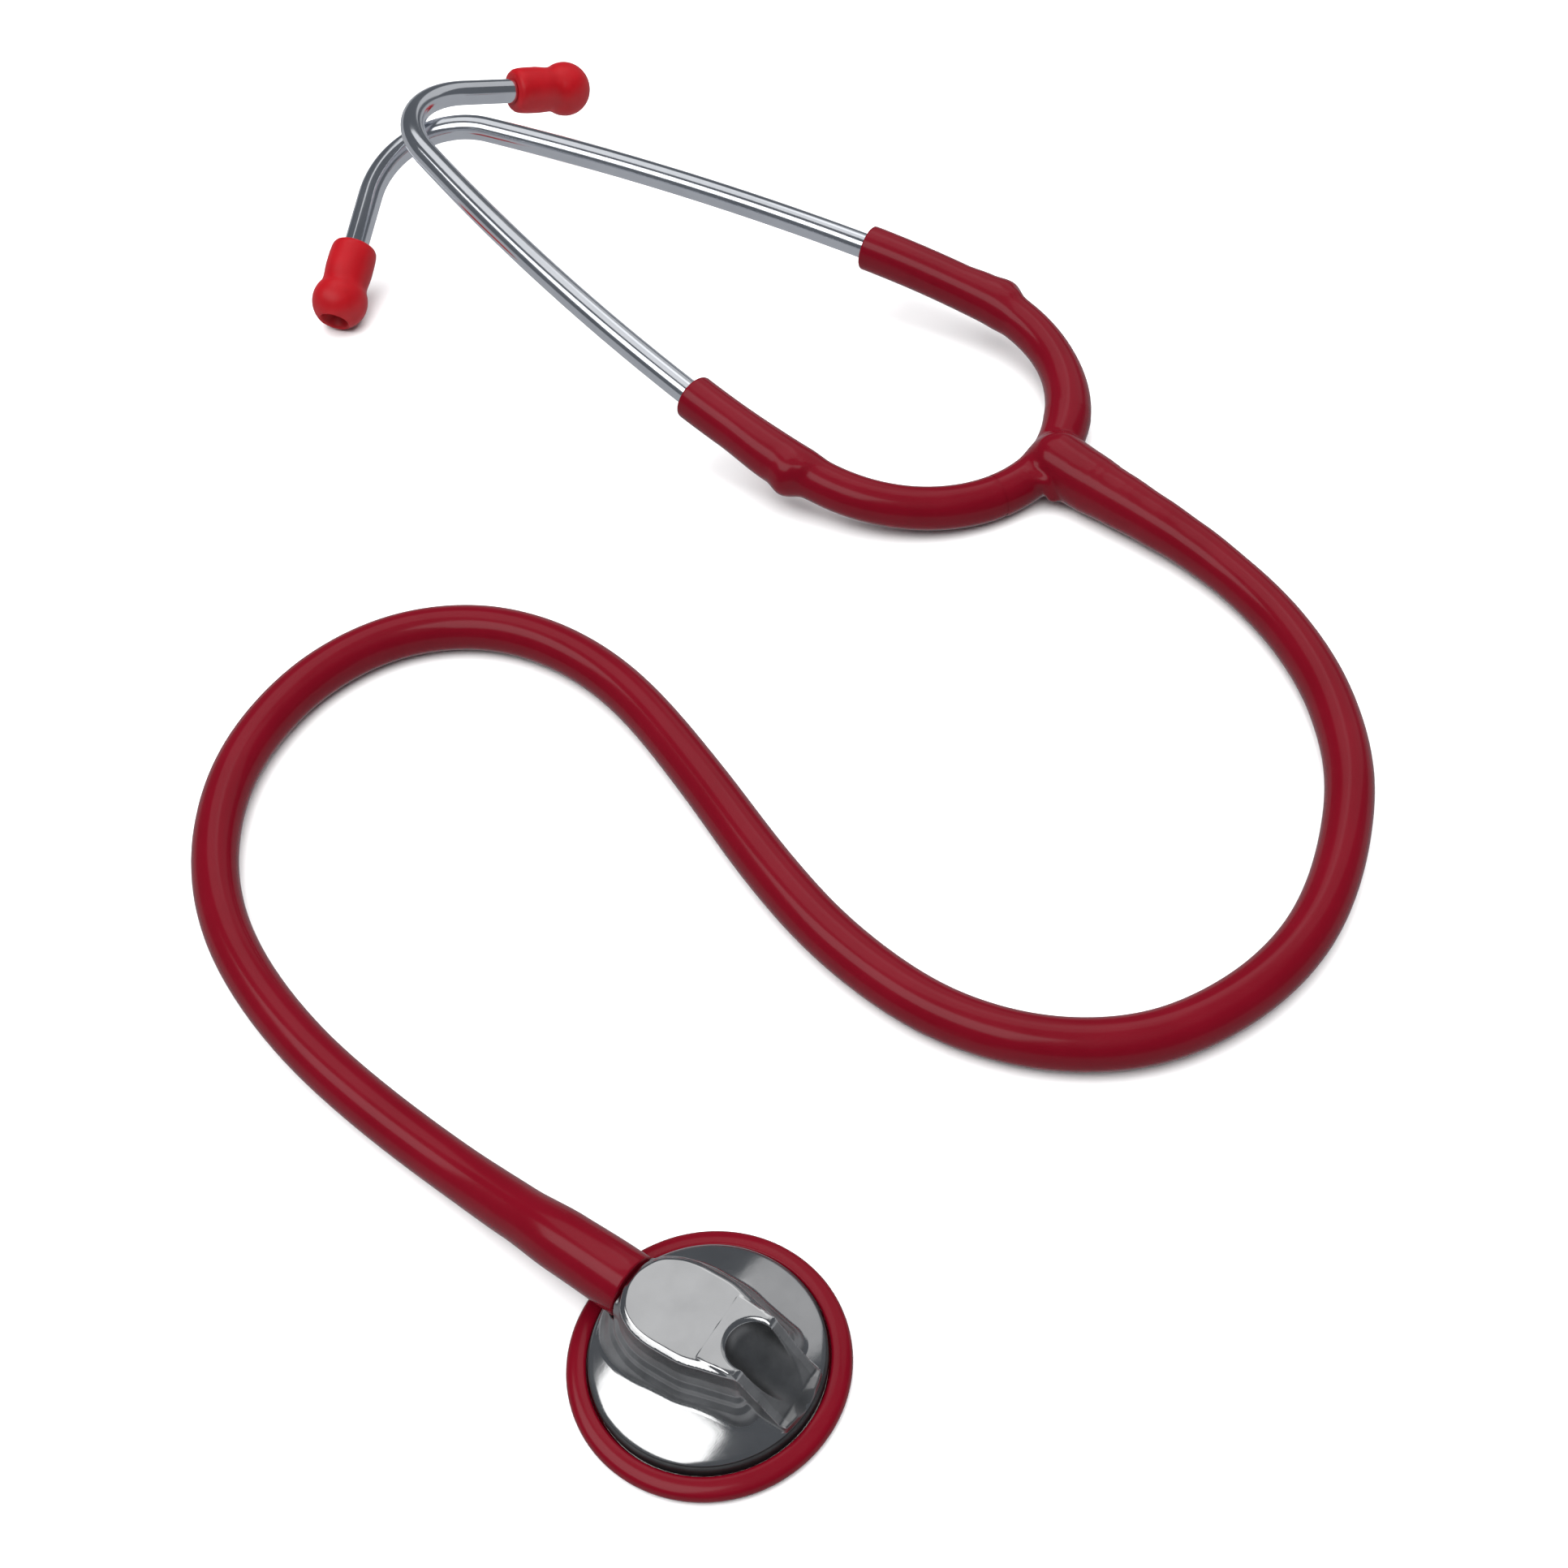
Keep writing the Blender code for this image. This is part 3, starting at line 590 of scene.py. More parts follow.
def chrome_material():
    grain = (900.0, 3.0, 0.00004, 0.10)
    made, _, shader, _ = clouded_material(
        "chromed_tube", CHROME_TONES, (90.0, 4.0), (0.10, 0.18), grain
    )
    shader.inputs["Metallic"].default_value = 1.0
    return made


def steel_material(name, tones, roughness, wear):
    """Steel with small pits and fine streaks, both as deep as the wear says."""
    pits = (420.0, 4.0, 0.00012, wear)
    made, tree, shader, _ = clouded_material(name, tones, (150.0, 5.0), roughness, pits)
    streaks = noise(tree, object_coordinates(tree, (0.12, 1.0, 0.5)), 5200.0, 2.0)
    bump(tree, shader, streaks, 0.00002, wear)
    shader.inputs["Metallic"].default_value = 1.0
    return made


def plain_material(name, tones, roughness, cloud_scale, grain_scale):
    grain = (grain_scale, 2.0, 0.00005, 0.2)
    return clouded_material(name, tones, (cloud_scale, 4.0), roughness, grain)[0]


PVC = pvc_material()
RED_SILICONE = eartip_material()
CHROME = chrome_material()
POLISHED = steel_material("polished_steel", POLISHED_TONES, (0.10, 0.20), 0.12)
TURNED = steel_material("turned_steel", TURNED_TONES, (0.22, 0.34), 0.2)
# rougher steel for the flank and the groove, darker in tone as painted shade
FLANK_SHADE_STEEL = steel_material("flank_painted_shade_steel", FLANK_SHADE_TONES, (0.26, 0.42), 0.35)
GROOVE_SHADE_STEEL = steel_material("groove_painted_shade_steel", GROOVE_SHADE_TONES, (0.34, 0.50), 0.35)
SPRING = steel_material("spring_steel", SPRING_TONES, (0.28, 0.42), 0.2)
SEAL_SHADE_RUBBER = plain_material("seal_painted_shade_rubber", SEAL_SHADE_TONES, (0.45, 0.6), 200, 2800)
NYLON = plain_material("black_nylon", NYLON_TONES, (0.4, 0.55), 300, 2400)
EPOXY = plain_material("epoxy_sheet", EPOXY_TONES, (0.25, 0.38), 120, 5200)


# ---- headset lines ----
def headset_matrix():
    along = Vector((0.0, math.cos(HEADSET_CLIMB), math.sin(HEADSET_CLIMB)))
    normal = Vector((0.0, -math.sin(HEADSET_CLIMB), math.cos(HEADSET_CLIMB)))
    right = Vector((1.0, 0.0, 0.0))
    x_axis = right * math.cos(HEADSET_ROLL) + normal * math.sin(HEADSET_ROLL)
    z_axis = normal * math.cos(HEADSET_ROLL) - right * math.sin(HEADSET_ROLL)
    turn = Matrix((x_axis, along, z_axis)).transposed()
    return Matrix.Translation(CROTCH) @ turn.to_4x4()


HEADSET = headset_matrix()


def arch_point(angle, side):
    x = side * FORK_HALF_WIDTH * math.sin(angle)
    return Vector((x, FORK_LENGTH * (1.0 - math.cos(angle)), 0.0))


def arm_matrix(side):
    pivot = Matrix.Translation(arch_point(PIVOT_ANGLE, side))
    flex = Matrix.Rotation(-side * ARM_FLEX, 4, "X")
    return HEADSET @ pivot @ flex @ pivot.inverted()


def placed(point, side):
    """World place of a headset point, eased from the fork into the flexed arm."""
    fixed = HEADSET @ point
    flexed = arm_matrix(side) @ point
    reach = (point - arch_point(PIVOT_ANGLE, side)).length
    ahead = abs(point.x) > abs(arch_point(PIVOT_ANGLE, side).x)
    t = min(1.0, reach / FLEX_EASE) if ahead else 0.0
    return fixed.lerp(flexed, t * t * (3.0 - 2.0 * t))


def toe_in_points(start, side, steps):
    """Points of the arm's upper part, which leans in little by little up to its mouth."""
    points = [start]
    for i in range(steps):
        angle = ARM_TOE_IN * (i + 0.5) / steps
        step = Vector((-side * math.sin(angle), math.cos(angle), 0.0))
        points.append(points[-1] + step * ARM_STRAIGHT / steps)
    return points


def arm_centre(side, first_angle, spacing):
    """World points from the fork to the mouth of an arm, evenly spaced."""
    count = 80
    sweep = math.pi / 2 - first_angle
    arch = [arch_point(first_angle + sweep * i / count, side) for i in range(count + 1)]
    points = arch[:-1] + toe_in_points(arch[-1], side, 40)
    return even_points([placed(p, side) for p in points], spacing)


def mouth_point(side):
    """Headset place of an arm's mouth."""
    return toe_in_points(arch_point(math.pi / 2.0, side), side, 6)[-1]


def bend_point(start, ahead, inward, radius, angle):
    """Point of a bend that leaves start along ahead and curves towards inward."""
    return start + (ahead * math.sin(angle) + inward * (1.0 - math.cos(angle))) * radius


def ear_tube_centre(side):
    """World points of an ear tube and the direction of its end."""
    short = 12
    long = 60
    to_world = arm_matrix(side)
    mouth = mouth_point(side)
    ahead = Vector((-side * math.sin(ARM_TOE_IN), math.cos(ARM_TOE_IN), 0.0))
    inward = Vector((-side * math.cos(ARM_TOE_IN), -math.sin(ARM_TOE_IN), 0.0))
    points = [mouth - ahead * EAR_TUBE_INSERT * (1.0 - i / short) for i in range(short)]
    sweep = EAR_TUBE_ARC_LENGTH / EAR_TUBE_ARC_R
    for i in range(long + 1):
        angle = sweep * i / long
        points.append(bend_point(mouth, ahead, inward, EAR_TUBE_ARC_R, angle))
    along = ahead * math.cos(sweep) + inward * math.sin(sweep)
    across = inward * math.cos(sweep) - ahead * math.sin(sweep)
    across = across * math.cos(EAR_TUBE_CANT) - UP * math.sin(EAR_TUBE_CANT)
    start = points[-1]
    for i in range(1, long + 1):
        angle = EAR_TUBE_BEND * i / long
        points.append(bend_point(start, along, across, EAR_TUBE_BEND_R, angle))
    last = along * math.cos(EAR_TUBE_BEND) + across * math.sin(EAR_TUBE_BEND)
    bend_end = points[-1]
    for i in range(1, short + 1):
        points.append(bend_end + last * EAR_TUBE_END * i / short)
    turn = to_world.to_3x3()
    return [to_world @ p for p in points], (turn @ last).normalized()


HOSE_POINTS = [Vector((CROTCH.x + x, CROTCH.y + y, z)) for x, y, z in HOSE_ROUTE]

# outer radius of the hose by distance from the fork, in metres
HOSE_RADII = [
    (0.000, 0.00690), (0.008, 0.00670), (0.016, 0.00610), (0.026, 0.00555),
    (0.036, 0.00510), (0.050, 0.00477), (0.120, 0.00472), (0.200, 0.00487),
    (0.270, 0.00505), (0.330, 0.00478), (0.400, 0.00476), (0.470, 0.00452),
    (0.545, 0.00460), (0.562, 0.00480), (0.574, 0.00535), (0.584, 0.00550),
    (0.700, 0.00550),
]
HOSE_LIFT = 0.00003
HOSE_SPACING = 0.0010
FORK_SKIN_REACH = 0.046

# a small fold of the moulding between the hose and the left arm, from the crotch
FORK_FOLD = [(-0.0080, -0.0010, 0.0022), (-0.0068, -0.0042, 0.0020)]
FORK_FOLD += [(-0.0066, -0.0062, -0.0010)]
FORK_FOLD_R = 0.0016


def hose_radius(distance):
    return lerp_table(HOSE_RADII, distance)


def hose_line():
    """The hose's centre line, high enough that its thick stretches rest on the table."""
    line = relax(even_points(smooth_route(HOSE_POINTS, 16), HOSE_SPACING), 9, 3)
    for point, distance in zip(line, arc_lengths(line)):
        point.z = max(point.z, hose_radius(distance) + HOSE_LIFT)
    return line


HOSE_LINE = hose_line()
HOSE_LENGTHS = arc_lengths(HOSE_LINE)


# ---- soft tubing ----
FORK_SKIN_STEP = 0.0008
FORK_SKIN_MARGIN = 0.009
FORK_BLEND = 0.0020
FOLD_BLEND = 0.0012
# how far the fork's own lines go on past the places where its skin is trimmed
ARCH_BEYOND = 0.12
LOBE_BEYOND = 0.004

# the arms and the hose start a little inside the fork's skin, and a little thinner
ARM_OVERLAP_ANGLE = 0.012
ARM_OVERLAP_POINTS = 2
HOSE_OVERLAP_POINTS = 3
SKIN_TUCK = 0.00012

# rounded edges of the cut ends, and the sockets for the stem and the ear tubes
HOSE_EDGE = 0.0004
HOSE_SOCKET_POINTS = 14
HOSE_SOCKET_R = STEM_R + 0.0001
ARM_EDGE = 0.0005
ARM_SOCKET_R = EAR_TUBE_R + 0.00004
SOCKET_MOUTH = 0.0002
ARM_SPACING = 0.0007
ARM_BEND_END = 1.25


def make_fork_skin():
    """The moulded fork: the arch of both arms with the hose's thick lobe.

    Returns the number of the hose point at which its lobe ends.
    """
    widest = FORK_SKIN_ANGLE + ARCH_BEYOND
    angles = np.linspace(-widest, widest, 41)
    arch = []
    for angle in angles:
        side = 1 if angle > 0 else -1
        arch.append(placed(arch_point(abs(angle), side), side))
    arch = line_array(arch)
    swell = [FORK_SWELL["right" if angle > 0 else "left"] for angle in angles]
    ease = np.clip(np.abs(angles) / FORK_SKIN_ANGLE, 0.0, 1.0)
    arch_radii = ARM_TUBING_R + np.array(swell) * ease
    lobe_end = FORK_SKIN_REACH + LOBE_BEYOND
    lobe_line = [p for p, s in zip(HOSE_LINE, HOSE_LENGTHS) if s < lobe_end][::2]
    lobe = line_array(lobe_line)
    lobe_radii = np.array([hose_radius(s) for s in arc_lengths(lobe_line)])
    fold = line_array([CROTCH + Vector(p) for p in FORK_FOLD])
    fold_radii = np.full(len(fold), FORK_FOLD_R)

    def field(points):
        a = polyline_distance(points, arch, arch_radii)
        b = polyline_distance(points, lobe, lobe_radii)
        c = polyline_distance(points, fold, fold_radii)
        return soft_min(soft_min(a, b, FORK_BLEND), c, FOLD_BLEND)

    low = np.minimum(arch.min(0), lobe.min(0)) - FORK_SKIN_MARGIN
    high = np.maximum(arch.max(0), lobe.max(0)) + FORK_SKIN_MARGIN
    obj = surface_of("fork_skin", field, low, high, FORK_SKIN_STEP, PVC, 60.0)

    # trim the three ends where the arms and the hose take over
    bm = bmesh.new()
    bm.from_mesh(obj.data)
    cuts = []
    for side in (-1, 1):
        here = placed(arch_point(FORK_SKIN_ANGLE, side), side)
        next_point = placed(arch_point(FORK_SKIN_ANGLE + 0.01, side), side)
        cuts.append((here, (next_point - here).normalized()))
    index = next(i for i, s in enumerate(HOSE_LENGTHS) if s >= FORK_SKIN_REACH)
    cuts.append((HOSE_LINE[index], (HOSE_LINE[index + 1] - HOSE_LINE[index]).normalized()))
    for point, normal in cuts:
        geometry = bm.verts[:] + bm.edges[:] + bm.faces[:]
        bmesh.ops.bisect_plane(
            bm, geom=geometry, plane_co=point, plane_no=normal, clear_outer=True
        )
    bm.to_mesh(obj.data)
    bm.free()
    obj.data.shade_smooth()
    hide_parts("y_joint")
    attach(obj, "tubing")
    return index


def make_hose(first):
    """The hose from the fork's lobe to its cut end, with the bore that grips the stem."""
    start = first - HOSE_OVERLAP_POINTS
    line = [p.copy() for p in HOSE_LINE[start:]]
    end_y = CHEST.y + CUFF_END
    # it ends exactly on the stem's axis
    line = [p for p in line if p.y > end_y or p.x > CHEST.x + 0.01]
    line[-1] = Vector((CHEST.x, end_y, STEM_Z))
    distances = [HOSE_LENGTHS[start] + s for s in arc_lengths(line)]
    frames = frames_along(line, UP)
    sides = 40
    loops = []
    for i, (point, here, s) in enumerate(zip(line[:-1], frames, distances)):
        tuck = SKIN_TUCK * max(0, HOSE_OVERLAP_POINTS - i) / HOSE_OVERLAP_POINTS
        loops.append(ring(point, here, hose_radius(s) - tuck, sides))
    end, here = line[-1], frames[-1]
    loops += end_rings(end, here, hose_radius(distances[-1]), HOSE_EDGE, sides)
    loops.append(ring(end, here, STEM_R + SOCKET_MOUTH, sides))
    for i in range(len(line) - 1, -1, -1):
        in_socket = i >= len(line) - HOSE_SOCKET_POINTS
        bore = HOSE_SOCKET_R if in_socket else HOSE_BORE_R
        loops.append(ring(line[i], frames[i], bore, sides))
    obj = skin("hose_skin", loops, PVC, closed_loop=True, smooth_angle=50.0)
    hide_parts("hose", "hose_end_cuff")
    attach(obj, "tubing")


FORK_END = make_fork_skin()
make_hose(FORK_END)


def arm_bulge(name, from_mouth):
    """How far the spring's end pushes the tubing outward, in metres."""
    peak = BUMP_AT[name]
    height = BUMP_HEIGHT[name]
    table = [(peak - BUMP_RAMP[name], 0.0), (peak - BUMP_SHOULDER, BUMP_SHARE * height)]
    table += [(peak, height), (peak + BUMP_FALL, 0.0)]
    return lerp_table(table, from_mouth)


def arm_nub(name, from_mouth, angle):
    """Small raised lip on top of the tubing where the spring clamp ends."""
    along = (from_mouth - BUMP_AT[name] - NUB_BEYOND) / NUB_LENGTH
    around = (angle - NUB_ANGLE) / NUB_SPREAD
    return NUB_HEIGHT * math.exp(-(along**2) - around**2)


def arm_radius(name, from_mouth):
    """Radius of the tubing, from the thicker sleeve at the mouth down to the fork."""
    peak = BUMP_AT[name]
    table = [
        (0.0, 0.00530), (0.020, 0.00525), (peak + 0.001, 0.00522),
        (peak + 0.007, 0.00482), (0.055, 0.00475),
        (0.080, ARM_TUBING_R + FORK_SWELL[name]),
    ]
    return lerp_table(table, from_mouth)


def upright_frames(line, up, side):
    """(tangent, outward, upward) at each point, with upward as near to up as it can be."""
    frames = []
    for i in range(len(line)):
        tangent = tangent_at(line, i)
        tall = (up - up.dot(tangent) * tangent).normalized()
        frames.append((tangent, tangent.cross(tall) * side, tall))
    return frames


def make_arm(name, side):
    """One arm's tubing; returns the points on the fork's arch where its skin starts and
    where ARM_BEND_END lies.
    """
    line = arm_centre(side, FORK_SKIN_ANGLE - ARM_OVERLAP_ANGLE, ARM_SPACING)
    line = line[: len(line) - round(SLEEVE_TRIM[name] / ARM_SPACING)]
    frames = upright_frames(line, arm_matrix(side).to_3x3() @ UP, side)
    total = arc_lengths(line)[-1]
    distances = [total - s for s in arc_lengths(line)]
    sides = 48
    loops = []
    for i, (point, here, s) in enumerate(zip(line[:-1], frames, distances)):
        outward = arm_bulge(name, s)
        tuck = SKIN_TUCK * max(0, ARM_OVERLAP_POINTS - i) / ARM_OVERLAP_POINTS
        base = arm_radius(name, s) - tuck

        def radius(angle, base=base, outward=outward, s=s):
            facing = max(0.0, math.cos(angle) * 0.5 + 0.5)
            return base + outward * facing**2.5 + arm_nub(name, s, angle)

        loops.append(ring(point, here, radius, sides))
    end, here = line[-1], frames[-1]
    loops += end_rings(end, here, arm_radius(name, 0.0), ARM_EDGE, sides)
    loops.append(ring(end, here, EAR_TUBE_R + SOCKET_MOUTH, sides))
    loops.append(ring(end - here[0] * SOCKET_MOUTH, here, ARM_SOCKET_R, sides))
    for point, here, s in reversed(list(zip(line, frames, distances))[:-1]):
        bore = ARM_SOCKET_R if s < EAR_TUBE_INSERT else ARM_BORE_R
        loops.append(ring(point, here, bore, sides))
    obj = skin("arm_skin_" + name, loops, PVC, closed_loop=True, smooth_angle=50.0)
    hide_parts("arm_tubing_" + name)
    start = placed(arch_point(FORK_SKIN_ANGLE, side), side)
    finish = placed(arch_point(ARM_BEND_END, side), side)
    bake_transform(obj)
    return start, finish


def make_leaf(name, side):
    """Half of the leaf spring inside the arms."""
    angles = np.linspace(0.0, math.pi / 2, 60)
    points = [placed(arch_point(a, side), side) for a in angles]
    end = arch_point(math.pi / 2, side) + ALONG_Y * LEAF_BEYOND_ARCH
    points.append(placed(end, side))
    frames = upright_frames(points, arm_matrix(side).to_3x3() @ UP, 1)
    loops = []
    for point, (_, thick, tall) in zip(points, frames):
        loop = []
        for a, b in LEAF_SECTION:
            loop.append(point + tall * a * LEAF_WIDTH / 2 + thick * b * LEAF_THICKNESS / 2)
        loops.append(loop)
    obj = skin("leaf_spring_" + name, loops, SPRING, smooth_angle=30.0)
    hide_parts("binaural_spring")
    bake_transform(obj)


# ---- ear tubes and ear tips ----
def make_ear_tube(name, side):
    """One ear tube; returns the place and the direction of its end."""
    line, tip_axis = ear_tube_centre(side)
    rings_at = list(zip(line, frames_along(line, UP)))
    sides = 40
    loops = [ring(point, here, EAR_TUBE_R, sides) for point, here in rings_at]
    loops += [ring(point, here, EAR_TUBE_BORE_R, sides) for point, here in rings_at[::-1]]
    obj = skin("ear_tube_skin_" + name, loops, CHROME, closed_loop=True)
    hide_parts("ear_tube_" + name)
    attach(obj, name + "_ear_tube")
    return line[-1], tip_axis


def make_nipple(name, end, axis):
    """Threaded nipple: the thread's ridge winds along as a helix."""
    here = frames_along([end, end + axis], UP)[0]
    sides = 32
    steps = 60
    loops = []
    for k in range(steps + 1):
        s = -NIPPLE_INSERT + (NIPPLE_LENGTH + NIPPLE_INSERT) * k / steps

        def radius(angle, s=s):
            if s < NIPPLE_SHANK:
                return NIPPLE_SHANK_R
            phase = (s / THREAD_PITCH - angle / (2 * math.pi)) % 1.0
            ridge = max(0.0, 1.0 - abs(phase - 0.5) * 3.0)
            fade = min(1.0, (NIPPLE_LENGTH - s) / THREAD_FADE)
            return THREAD_ROOT_R + THREAD_HEIGHT * ridge * fade

        loops.append(ring(end + axis * s, here, radius, sides))
    loops.append(ring(end + axis * NIPPLE_LENGTH, here, NIPPLE_BORE_R, sides))
    loops.append(ring(end - axis * NIPPLE_INSERT, here, NIPPLE_BORE_R, sides))
    obj = skin("nipple_skin_" + name, loops, TURNED, closed_loop=True, smooth_angle=40.0)
    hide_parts("eartip_nipple_" + name)
    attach(obj, name + "_ear_tube")


def make_eartip(name, end, axis):
    """Mushroom tip: conical body, shallow neck, ball, and a coned sound hole."""
    profile = [
        (0.0002, 0.0030), (0.0003, 0.0044), (0.0006, 0.0050), (0.0012, 0.0054),
        (0.0022, 0.00560), (0.0040, 0.00572), (0.0070, 0.00575),
        (0.0086, 0.00565), (0.0100, 0.00553), (0.0110, 0.00552),
    ]
    start = math.asin(-TIP_NECK / TIP_BALL_R)
    stop = math.asin(TIP_MOUTH / TIP_BALL_R)
    steps = 24
    for i in range(1, steps + 1):
        angle = start + (stop - start) * i / steps
        r = TIP_BALL_R * math.cos(angle)
        profile.append((TIP_BALL_AT + TIP_BALL_R * math.sin(angle), r))
    mouth = TIP_BALL_AT + TIP_MOUTH
    profile += [(mouth + 0.0002, 0.0039), (mouth, 0.0035), (mouth - 0.0005, 0.0033)]
    profile += [(mouth - 0.0020, 0.0027), (mouth - 0.0032, 0.0022)]
    profile += [(mouth - 0.0042, 0.0018), (mouth - 0.0060, 0.0016)]
    profile += [(NIPPLE_LENGTH + 0.0016, 0.0022), (NIPPLE_LENGTH + 0.0010, TIP_BORE_R)]
    profile += [(0.0004, TIP_BORE_R), (0.0002, 0.0026)]
    obj = turned("eartip_skin_" + name, profile, end, axis, 64, RED_SILICONE, True, 60.0)
    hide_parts("eartip_" + name)
    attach(obj, name + "_eartip")


for side_name, side_sign in SIDES.items():
    bend_start, bend_end = make_arm(side_name, side_sign)
    make_leaf(side_name, side_sign)
    tube_end, tube_axis = make_ear_tube(side_name, side_sign)
    make_nipple(side_name, tube_end, tube_axis)
    make_eartip(side_name, tube_end, tube_axis)
    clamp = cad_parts["spring_clamp_" + side_name]
    clamp.data.materials.clear()
    clamp.data.materials.append(NYLON)


# ---- chestpiece ----
def shield_outline():
    """Outline of the raised plateau without its notch, as rows of (x, y)."""
    half = [(2.5, 13.7), (5.5, 12.0), (7.3, 9.0), (8.0, 6.0), (8.1, 2.5)]
    half += [(8.0, -1.0), (7.3, -4.0), (6.6, -7.0), (5.9, -9.9)]
    corners = [Vector((x / 1000, y / 1000, 0)) for x, y in half]
    over_top = [Vector((-corners[0].x, corners[0].y, 0)), Vector((0, 0.0141, 0))]
    curve = smooth_route(over_top + corners, 6)[6:]
    mirrored = [Vector((-p.x, p.y, 0)) for p in curve[1:]][::-1]
    return np.array([[p.x, p.y] for p in curve + mirrored])


def outline_distance(xy, outline):
    """Signed distance to a closed outline, negative inside."""
    best = np.full(len(xy), FAR)
    odd = np.zeros(len(xy), bool)
    for a, b in zip(outline, np.roll(outline, -1, axis=0)):
        step = b - a
        t = np.clip(((xy - a) @ step) / (step @ step), 0.0, 1.0)
        near = a + t[:, None] * step
        best = np.minimum(best, np.linalg.norm(xy - near, axis=1))
        crosses = (a[1] > xy[:, 1]) != (b[1] > xy[:, 1])
        rise = step[1] if step[1] else 1e-12
        odd ^= crosses & (xy[:, 0] < a[0] + (xy[:, 1] - a[1]) * step[0] / rise)
    return np.where(odd, -best, best)


def outline_table(outline):
    """Signed distance to the outline as a function, read from a fine grid."""
    reach = 0.024
    step = 0.0002
    line = np.arange(-reach, reach + step, step)
    xs, ys = np.meshgrid(line, line, indexing="ij")
    grid = outline_distance(np.stack([xs.ravel(), ys.ravel()], axis=1), outline)
    grid = grid.reshape(xs.shape)

    def distance(x, y):
        u = np.clip((x + reach) / step, 0, len(line) - 1.001)
        v = np.clip((y + reach) / step, 0, len(line) - 1.001)
        i, j = u.astype(int), v.astype(int)
        u, v = u - i, v - j
        low = grid[i, j] * (1 - u) + grid[i + 1, j] * u
        high = grid[i, j + 1] * (1 - u) + grid[i + 1, j + 1] * u
        return low * (1 - v) + high * v

    return distance


# dome, the cup under it, and the box and grid for the boss on top of it
DOME_RISE = 0.084
DOME_LIP = 0.0004
DOME_SUNK = 0.00003
DOME_INSET = 0.0005
SOUND_HOLE_R = 0.0020
BOSS_FLOOR_Z = HEAD_EDGE_Z + 0.0002
BOSS_BOX_LOW = (-0.0200, -0.0200, 0.0042)
BOSS_BOX_HIGH = (0.0200, 0.0200, 0.0178)
BOSS_STEP = 0.00040
CUP_R = 0.0135

# plateau and flank, in a frame turned a little about +Z. The flank stands out by each of
# FLANK_REACHES at the same row's drop below the plateau.
SHIELD_TURN = math.radians(4.1)
SHIELD_SHIFT = 0.0004
SHIELD_BEVEL = 0.0009
FLANK_DROPS = [0.0, 0.0035, 0.0052, 0.0060, 0.0068, 0.0076, 0.0090, 0.0120]
FLANK_REACHES = [0.0, 0.0003, 0.0008, 0.0015, 0.0018, 0.0026, 0.0034, 0.0052]

# collar and bore for the hose's stem
COLLAR_R = 0.0057
COLLAR_DROP = 0.0020
COLLAR_START_Y = 0.0040
STEM_BORE_R = 0.0033
STEM_BORE_END_Y = -0.0028

# walls beside the thumb groove: their slope's direction as (down, along)
WALL_START_Y = -0.0098
WALL_BACK_Y = -0.0030
WALL_SLOPE = (-0.599, -0.801)
WALL_LEDGE_Z = 0.0067
WALL_HALF_WIDTH = 0.0059
WALL_TAPER = 0.1
WALL_DRAFT = 0.04

# thumb groove
GROOVE_R = 0.00415
GROOVE_Y = -0.0093
GROOVE_SLOPE = math.radians(33.0)
GROOVE_LENGTH = 0.0220
GROOVE_BEVEL = 0.0004


def shield_frame(x, y):
    """The same places in the plateau's own frame."""
    turned_x = x * math.cos(SHIELD_TURN) + y * math.sin(SHIELD_TURN) - SHIELD_SHIFT
    turned_y = y * math.cos(SHIELD_TURN) - x * math.sin(SHIELD_TURN)
    return turned_x, turned_y


def notch_distance(x, y):
    """Distance from the groove's round end, seen from above, in the plateau's frame."""
    return np.hypot(x, np.maximum(y - GROOVE_Y, 0.0)) - GROOVE_R


def bevel_field(inward, drop, fall, scale):
    """A slope that falls outward from the plateau's level."""
    return (inward * fall - drop) * scale


def groove_field(x, y, drop):
    """Round-bottomed groove, open above its sloping centre line."""
    past = y - GROOVE_Y
    down = -past * math.cos(GROOVE_SLOPE) + drop * math.sin(GROOVE_SLOPE)
    above = -past * math.sin(GROOVE_SLOPE) - drop * math.cos(GROOVE_SLOPE)
    beyond = down - np.clip(down, 0.0, GROOVE_LENGTH)
    round_part = np.sqrt(x**2 + above**2 + beyond**2) - GROOVE_R
    open_part = np.maximum(np.abs(x) - GROOVE_R, np.maximum(-above, past))
    return np.minimum(round_part, open_part)


def walls_field(x, y, z, drop):
    """Two walls beside the groove, sloping down to the edge."""
    ahead = y - WALL_START_Y
    slope = ahead * WALL_SLOPE[1] + drop * WALL_SLOPE[0]
    slope = np.minimum(slope, z - WALL_LEDGE_Z)
    half_width = WALL_HALF_WIDTH + np.minimum(ahead, 0.0) * WALL_TAPER + drop * WALL_DRAFT
    walls = soft_max(np.abs(x) - half_width, slope, 0.0002)
    walls = np.maximum(walls, np.maximum(y - WALL_BACK_Y, -drop))
    return np.maximum(walls, BOSS_FLOOR_Z - z)


